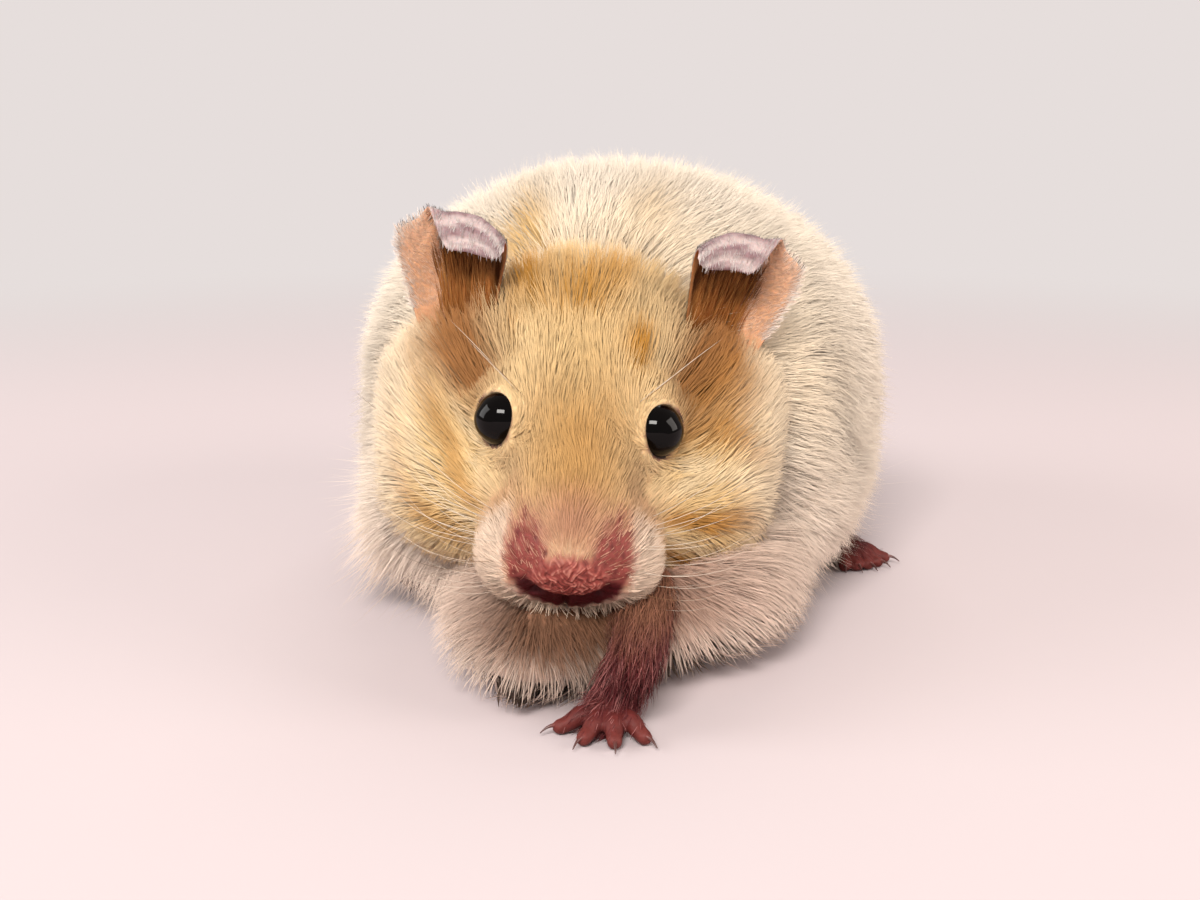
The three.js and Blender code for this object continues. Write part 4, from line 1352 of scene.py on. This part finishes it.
near_body = 1 - smooth(trunk_skin(to_body(from_head(root))), 0.4, 4.5)
under_lip = smooth(-z, 11, 14) * smooth(-y, 6, 10)
stretch = 0.9 * ruff_share(root) + 0.9 * near_body + 0.9 * under_lip
facing = out * (1 - 0.8 * under_lip[:, None]) + np.outer(0.8 * under_lip, [0, -0.75, 0.6])
head_roots = [root, out, lie, place, stretch, 22 * under_lip, facing]
head_region = (head_gap, head_hair_colours, from_head, HEAD_TURN)
for name, keep in HEAD_PARTS.items():
    finish = face_coat if name in SHORT_COAT else long_coat
    grow(name, keep, head_roots, head_region, finish, clear_of_eyes)


def breast_lie(root, out):
    """Down and a little forward over the breast, and aside over the elbows."""
    aside = 0.15 * np.sign(root[:, 0] - 2) + 0.5 * smooth(root[:, 0], 8, 18)
    ahead = -0.5 + 0.6 * smooth(np.abs(root[:, 0] - 2), 6, 18)
    return flattened(np.stack([aside, ahead, 0 * aside - 1.0], axis=1), out)


def body_lie(root, out):
    """Backward along the trunk and down its sides and rump, and spreading outward round the neck."""
    x, y, z = root.T
    facing = np.clip(-out[:, 1], 0, 1)
    aside = np.abs(out[:, 0])
    middle = np.hypot(x, z - 20)
    ring = np.stack([x, 0 * x, z - 20], axis=1) / np.maximum(middle, 1)[:, None]
    way = np.outer(1.0 - 0.6 * facing, [0, 1.0, 0]) + ring * (0.9 * facing * smooth(z, 14, 24))[:, None]
    fall = 0.35 + 0.4 * aside + 1.0 * facing * (1 - smooth(z, 14, 24)) + 0.8 * smooth(y, 60, 85)
    way = way - np.outer(fall * (1 - smooth(-out[:, 2], 0.3, 0.8)), [0, 0, 1.0])
    return flattened(way, out)


def nearest_other(points, own):
    """Distance from one form of the body to the nearest other one."""
    others = [form(points) for form in (trunk_skin, breast_skin, elbow_skin) if form is not own]
    return np.minimum(*others)


def body_density(own):
    """Tufts for each square millimetre of one form of the body: most on the sides in front, fewer
    low down and towards the rump, none where the head or another form is over it."""
    def density(points):
        """That density at each point."""
        inside = (head_skin(to_head(from_body(points))) < 0.8) | (nearest_other(points, own) < 0.3)
        count = np.interp(points[:, 2], [4, 9, 14], [2.5, 6.5, 8.0])
        count = count * np.interp(points[:, 1], [28, 60], [1, 0.45])
        return np.where(inside, 0, count)
    return density


forms = [trunk_skin, breast_skin, elbow_skin]
grids = [trunk_grid, breast_grid, elbow_grid]
sets = [scattered(grid, body_density(form)) for grid, form in zip(grids, forms)]
root = np.concatenate([one[0] for one in sets])
place = np.concatenate([one[1] + [index * NEXT_UNWRAP, 0] for index, one in enumerate(sets)])
out = np.concatenate([outward(one[0], form) for one, form in zip(sets, forms)])
seam = np.concatenate([nearest_other(one[0], form) for one, form in zip(sets, forms)])
stretch = 0.5 * (1 - smooth(seam, 0.3, 4.5))
breast = np.arange(len(root)) >= len(sets[0][0])
lie = np.where(breast[:, None], breast_lie(root, out), body_lie(root, out))
wander = waves(root, 0.3, (0.22, 0.15, 0), (0.2, -0.12, 1.0))
lie = swirled(lie, out, 1.4 * wander + 0.11 * draw.standard_normal(len(root)))
x, y, z = root.T
BREAST_END, BREAST_TOP, RUFF_END, RUMP_START = 8, 24, 24, 60
UNDERSIDE, TOPSIDE = -0.55, 0.62  # how far the skin faces down or up there
BELLY_SHARE = 0.33  # share of the tufts that the belly keeps, each of them wide
under, on_top = out[:, 2] < UNDERSIDE, out[:, 2] >= TOPSIDE
in_front = y < BREAST_END
middle = ~under & (y >= RUFF_END) & (y < RUMP_START)
BODY_PARTS = {
    "coat_belly": under & (draw.random(len(root)) < BELLY_SHARE),
    "coat_breast": ~under & in_front & (z < BREAST_TOP),
    "coat_ruff": ~under & (in_front & (z >= BREAST_TOP) | ~in_front & (y < RUFF_END)),
    "coat_back": middle & on_top,
    "coat_flank_left": middle & ~on_top & (x > 0),
    "coat_flank_right": middle & ~on_top & (x <= 0),
    "coat_rump": ~under & (y >= RUMP_START),
}
body_roots = [root, out, lie, place, stretch, np.zeros(len(root)), out]
body_region = (body_gap, body_markings, from_body, BODY_TURN)
for name, keep in BODY_PARTS.items():
    grow(name, keep, body_roots, body_region, long_coat)

# ---- Fur of the ears ----
# The front of each ear is filled from its base with orange-brown hair on the side towards the
# crown; the outer margin has only pale down. The back, and so the folded top, has fine hair in
# pale and grey-lilac bands.
ear_coat = coat_finish("short_ear_hair", 0.75)
INSIDE_HAIRS, BACK_HAIRS, MARGIN_HAIRS = 3000, 3300, 1500
EAR_HAIR_WIDTH = 0.07


def ear_hair(side, face, count, low, high):
    """Roots spread over one face of an ear from v low to high, and the directions there."""
    u = np.sin((draw.random(count) - 0.5) * math.pi) * 0.97
    v = low + (high - low) * draw.random(count)
    step = 0.01
    root = ear_surface(u, v, face)
    along = ear_surface(u, v + step, face) - root
    across = ear_surface(u + step, v, face) - ear_surface(u - step, v, face)
    out = np.cross(across, along) * face
    out /= np.linalg.norm(out, axis=1, keepdims=True)
    lie = flattened(along + across * 0.15, out)
    return u, v, root * [side, 1, 1], out * [side, 1, 1], lie * [side, 1, 1]


def margin_hair(side, count):
    """Roots, directions, colours and lengths of the pale down that stands off the outer margin and
    the top of one ear, on its inner face."""
    u = 1 - 0.75 * draw.random(count) ** 1.5
    v = 1 - 0.8 * draw.random(count)
    root = ear_surface(u, v, 1.0)
    across = ear_surface(u, v, 1.0) - ear_surface(u - 0.01, v, 1.0)
    along = ear_surface(u, v, 1.0) - ear_surface(u, v - 0.01, 1.0)
    out = np.cross(across, along)
    out /= np.linalg.norm(out, axis=1, keepdims=True)
    edge = smooth(v, 0.75, 1)[:, None]
    lie = flattened(across / 0.07 * (0.5 - 0.2 * edge) + along / 0.14 * (0.9 + 0.5 * edge), out)
    rim = np.maximum(smooth(u, 0.8, 1), smooth(v, 0.85, 1))
    hue = mixed(linear("#EFC6AA"), linear("#FFF4EA"), rim * draw.random(count) ** 0.5)
    length = (0.35 + 0.65 * draw.random(count)) * (1 + 0.6 * rim)
    way = [side, 1, 1]
    return root * way, out * way, lie * way, np.stack([u * 0.5 + 2, v], axis=1), hue, length


def ear_coat_piece(side, name):
    """Brown hair inside, pale hair behind and down at the outer margin of one ear."""
    parts = []
    for face, count, low, high in ((1.0, INSIDE_HAIRS, 0.02, 0.62), (-1.0, BACK_HAIRS, 0.1, 0.99)):
        u, v, root, out, lie = ear_hair(side, face, count, low, high)
        if face > 0:
            keep = draw.random(count) < smooth(-u, -0.55, -0.1) * (1 - smooth(v, 0.4, 0.56))
            length = 3.0 + 2.6 * draw.random(count) * (1 - smooth(v, 0.2, 0.5))
            hue = mixed(linear("#8E4E20"), linear("#BC8046"), draw.random(count))
            # Painted shade: the inside hair darkens towards the fold that hangs over it.
            hue = mixed(hue, linear("#4A220C"), 0.85 * smooth(v, 0.25, 0.42))
        else:
            _, over = ear_lengths(u, v)
            keep = draw.random(count) < 0.9
            length = (0.7 + 0.9 * draw.random(count)) * (1 - 0.2 * smooth(over, 0.2, 1))
            banded = 0.6 * smooth(-ear_streaks(u, v), -0.4, 0.8) + 0.4 * draw.random(count)
            hue = mixed(linear("#EFE6E0"), linear("#8F7377"), banded)
            hue = mixed(hue, linear("#E9D0A8"), 1 - smooth(v, 0.3, 0.55))
        unwrapped = np.stack([u * 0.5 + face, v], axis=1)
        parts.append(choose([root, out, lie, unwrapped, hue, length], keep))
    parts.append(margin_hair(side, MARGIN_HAIRS))
    root, out, lie, place, hue, length = [np.concatenate(pair) for pair in zip(*parts)]
    count = len(root)
    lift = 18 + 7 * draw.standard_normal(count)
    width = np.minimum(EAR_HAIR_WIDTH + 0.04 * draw.random(count), length * 0.06)
    hair = {"stations": 2, "lock": 1.2, "pull": 0.3, "curl": 0.02}
    points, t = tufts(root, out, lie, length, width, lift, np.full(count, 4.0), **hair)
    points = moved(points, lambda flat: from_head(from_ear(flat, side)))
    facing = from_head(from_ear(out, side)) - from_head(from_ear(out * 0, side))
    coat_piece(name, points, t, hue, place, ear_coat, lean=0.6, facing=facing)


ear_coat_piece(1, "coat_ear_left")
ear_coat_piece(-1, "coat_ear_right")

# ---- Fur of the legs ----
# Thin reddish-brown and pale hair runs down each leg to the wrist or heel and thins out over the
# back of the foot, so that the pink skin shows between the hairs.
leg_coat = coat_finish("thin_leg_hair", 0.7)
LEG_HAIR_WIDTH = 0.12
LEG_HAIRS = (7.0, 6.0, 11, 11)  # for each square millimetre of palm, spread, wrist and limb
TOE_HAIRS = 2.5


def leg_hair(foot):
    """Roots, directions, places on the unwrap and lengths of the hair on one leg, from its tubes.
    The foreleg that reaches forward has twice as much, and what lies inside the body has none."""
    _, at, wrist, root_at, _ = foot
    share = 1 if root_at[1] < 0 else 0.5
    palm_way = np.array([at[0], at[1], 0.5]) - np.array(wrist)
    limb_way = np.array(wrist) - np.array(root_at)
    found = []
    for index, grid in enumerate(foot_tubes(foot)):
        is_toe = index >= len(LEG_HAIRS)
        thick = share * (TOE_HAIRS if is_toe else LEG_HAIRS[index])
        is_foot = is_toe or index < 2

        def density(points, thick=thick, is_foot=is_foot):
            """Even over the limb, and only on the upper side of the foot."""
            top = smooth(points[:, 2], 1.2, 2.4) if is_foot else 1.0
            return thick * top * np.ones(len(points))

        root, place = scattered(grid, density)
        middle = grid.mean(axis=1)
        ring = (place[:, 1] * (len(middle) - 1)).astype(int)
        out = root - middle[ring]
        out /= np.maximum(np.linalg.norm(out, axis=1, keepdims=True), 1e-9)
        ahead = limb_way if index == 3 else palm_way
        lie = flattened(np.tile(ahead / np.linalg.norm(ahead), (len(root), 1)), out)
        length = np.full(len(root), 1.0 if is_toe else (2.0 if is_foot else 5.4))
        free = body_gap(root) + body_depth(root) > -0.3
        found.append(choose([root, out, lie, place + [index * NEXT_UNWRAP, 0], length], free))
    return [np.concatenate(group) for group in zip(*found)]


all_legs = []
for index, foot in enumerate(FEET.values()):
    root, out, lie, place, length = leg_hair(foot)
    all_legs.append((root, out, lie, place + [0, index * NEXT_UNWRAP], length))
root, out, lie, place, length = [np.concatenate(group) for group in zip(*all_legs)]
count = len(root)
lie = swirled(lie, out, 0.14 * draw.standard_normal(count))
hue = mixed(linear("#5E2226"), linear("#B87874"), draw.random(count) ** 3)
hue = mixed(hue, linear("#94654E"), smooth(root[:, 2], 8.5, 13) * 0.95)
length = length * (0.7 + 0.6 * draw.random(count))
lift = 20 + 6 * draw.standard_normal(count)
width = np.minimum(LEG_HAIR_WIDTH, length * 0.1)
hair = {"stations": 2, "lock": 1.2, "pull": 0.35, "curl": 0.02}
points, t = tufts(root, out, lie, length, width, lift, np.full(count, 2.0), **hair)
points, facing = moved(points, from_body), out @ BODY_TURN.T
coat_piece("coat_legs", points, t, hue, place, leg_coat, lean=0.5, facing=facing)

# ---- Whiskers ----
# Stiff pale hairs in four rows on each whisker pad, longest at the back, that sweep out and a
# little back and droop at their tips; three more stand over each eye.
whisker_coat = coat_finish("whisker", 0.9, 0.0)
WHISKER_WIDTH = 0.08
WHISKER_LIFT, WHISKER_END_LIFT = 52, 5
WHISKER_ROWS, WHISKERS_IN_ROW = 4, 6
PAD_MIDDLE = (2.0, -9.0, -8.0)
BROW_ROOTS = np.array([[8.2, 0.5, 5.0], [9.4, 2.2, 5.4], [7.2, 0.2, 4.4]])
BROW_LENGTHS = np.array([9.0, 11.0, 7.5])


def whisker_roots(side):
    """Roots in rows on one pad: a fan of rays from the middle of the snout out to the skin."""
    row, column = np.meshgrid(np.arange(WHISKER_ROWS), np.arange(WHISKERS_IN_ROW), indexing="ij")
    row, column = row.ravel(), column.ravel()
    turn = np.radians(38 + 9.5 * column + 3 * draw.random(len(row)))
    rise = np.radians(12 - 15 * row + 4 * draw.random(len(row)))
    level = np.cos(rise)
    way = np.stack([side * np.sin(turn) * level, -np.cos(turn) * level, np.sin(rise)], axis=1)
    start = np.tile(PAD_MIDDLE * np.array([side, 1, 1]), (len(row), 1))
    return start + way * ray_length(head_skin, start, way)[:, None], way, column


parts = []
for side in (1, -1):
    mirror = np.array([side, 1, 1])
    root, way, column = whisker_roots(side)
    sweep = way + np.outer(0.25 + 0.12 * column, [0, 0.5, 0]) + mirror * [0.35, 0, 0]
    length = 9 + 2.6 * column + 5 * draw.random(len(root))
    parts.append((root, way, flattened(sweep, way), length))
    up = np.tile(mirror * [0.35, -0.5, 0.8], (len(BROW_ROOTS), 1))
    up /= np.linalg.norm(up, axis=1, keepdims=True)
    back = flattened(np.tile(mirror * [0.7, 0.5, 0.4], (len(BROW_ROOTS), 1)), up)
    parts.append((BROW_ROOTS * mirror, up, back, BROW_LENGTHS))
root, out, lie, length = [np.concatenate(group) for group in zip(*parts)]
count = len(root)
sizes = [np.full(count, size) for size in (WHISKER_WIDTH, WHISKER_LIFT, WHISKER_END_LIFT)]
points, t = tufts(root, out, lie, length, *sizes, stations=8, lock=1.0, pull=0.0)
hue = mixed(linear("#E9DCCB"), linear("#8E6A4C"), (draw.random(count) < 0.2) * 1.0)
place = draw.random((count, 2))
points, facing = moved(points, from_head), out @ HEAD_TURN.T
coat_piece("whiskers", points, t, hue, place, whisker_coat, lean=0.0, facing=facing)

# ---- Sizes ----
shown_low, shown_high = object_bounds()
sizes = {"cad": [list(cad_low), list(cad_high)], "shown": [list(shown_low), list(shown_high)]}
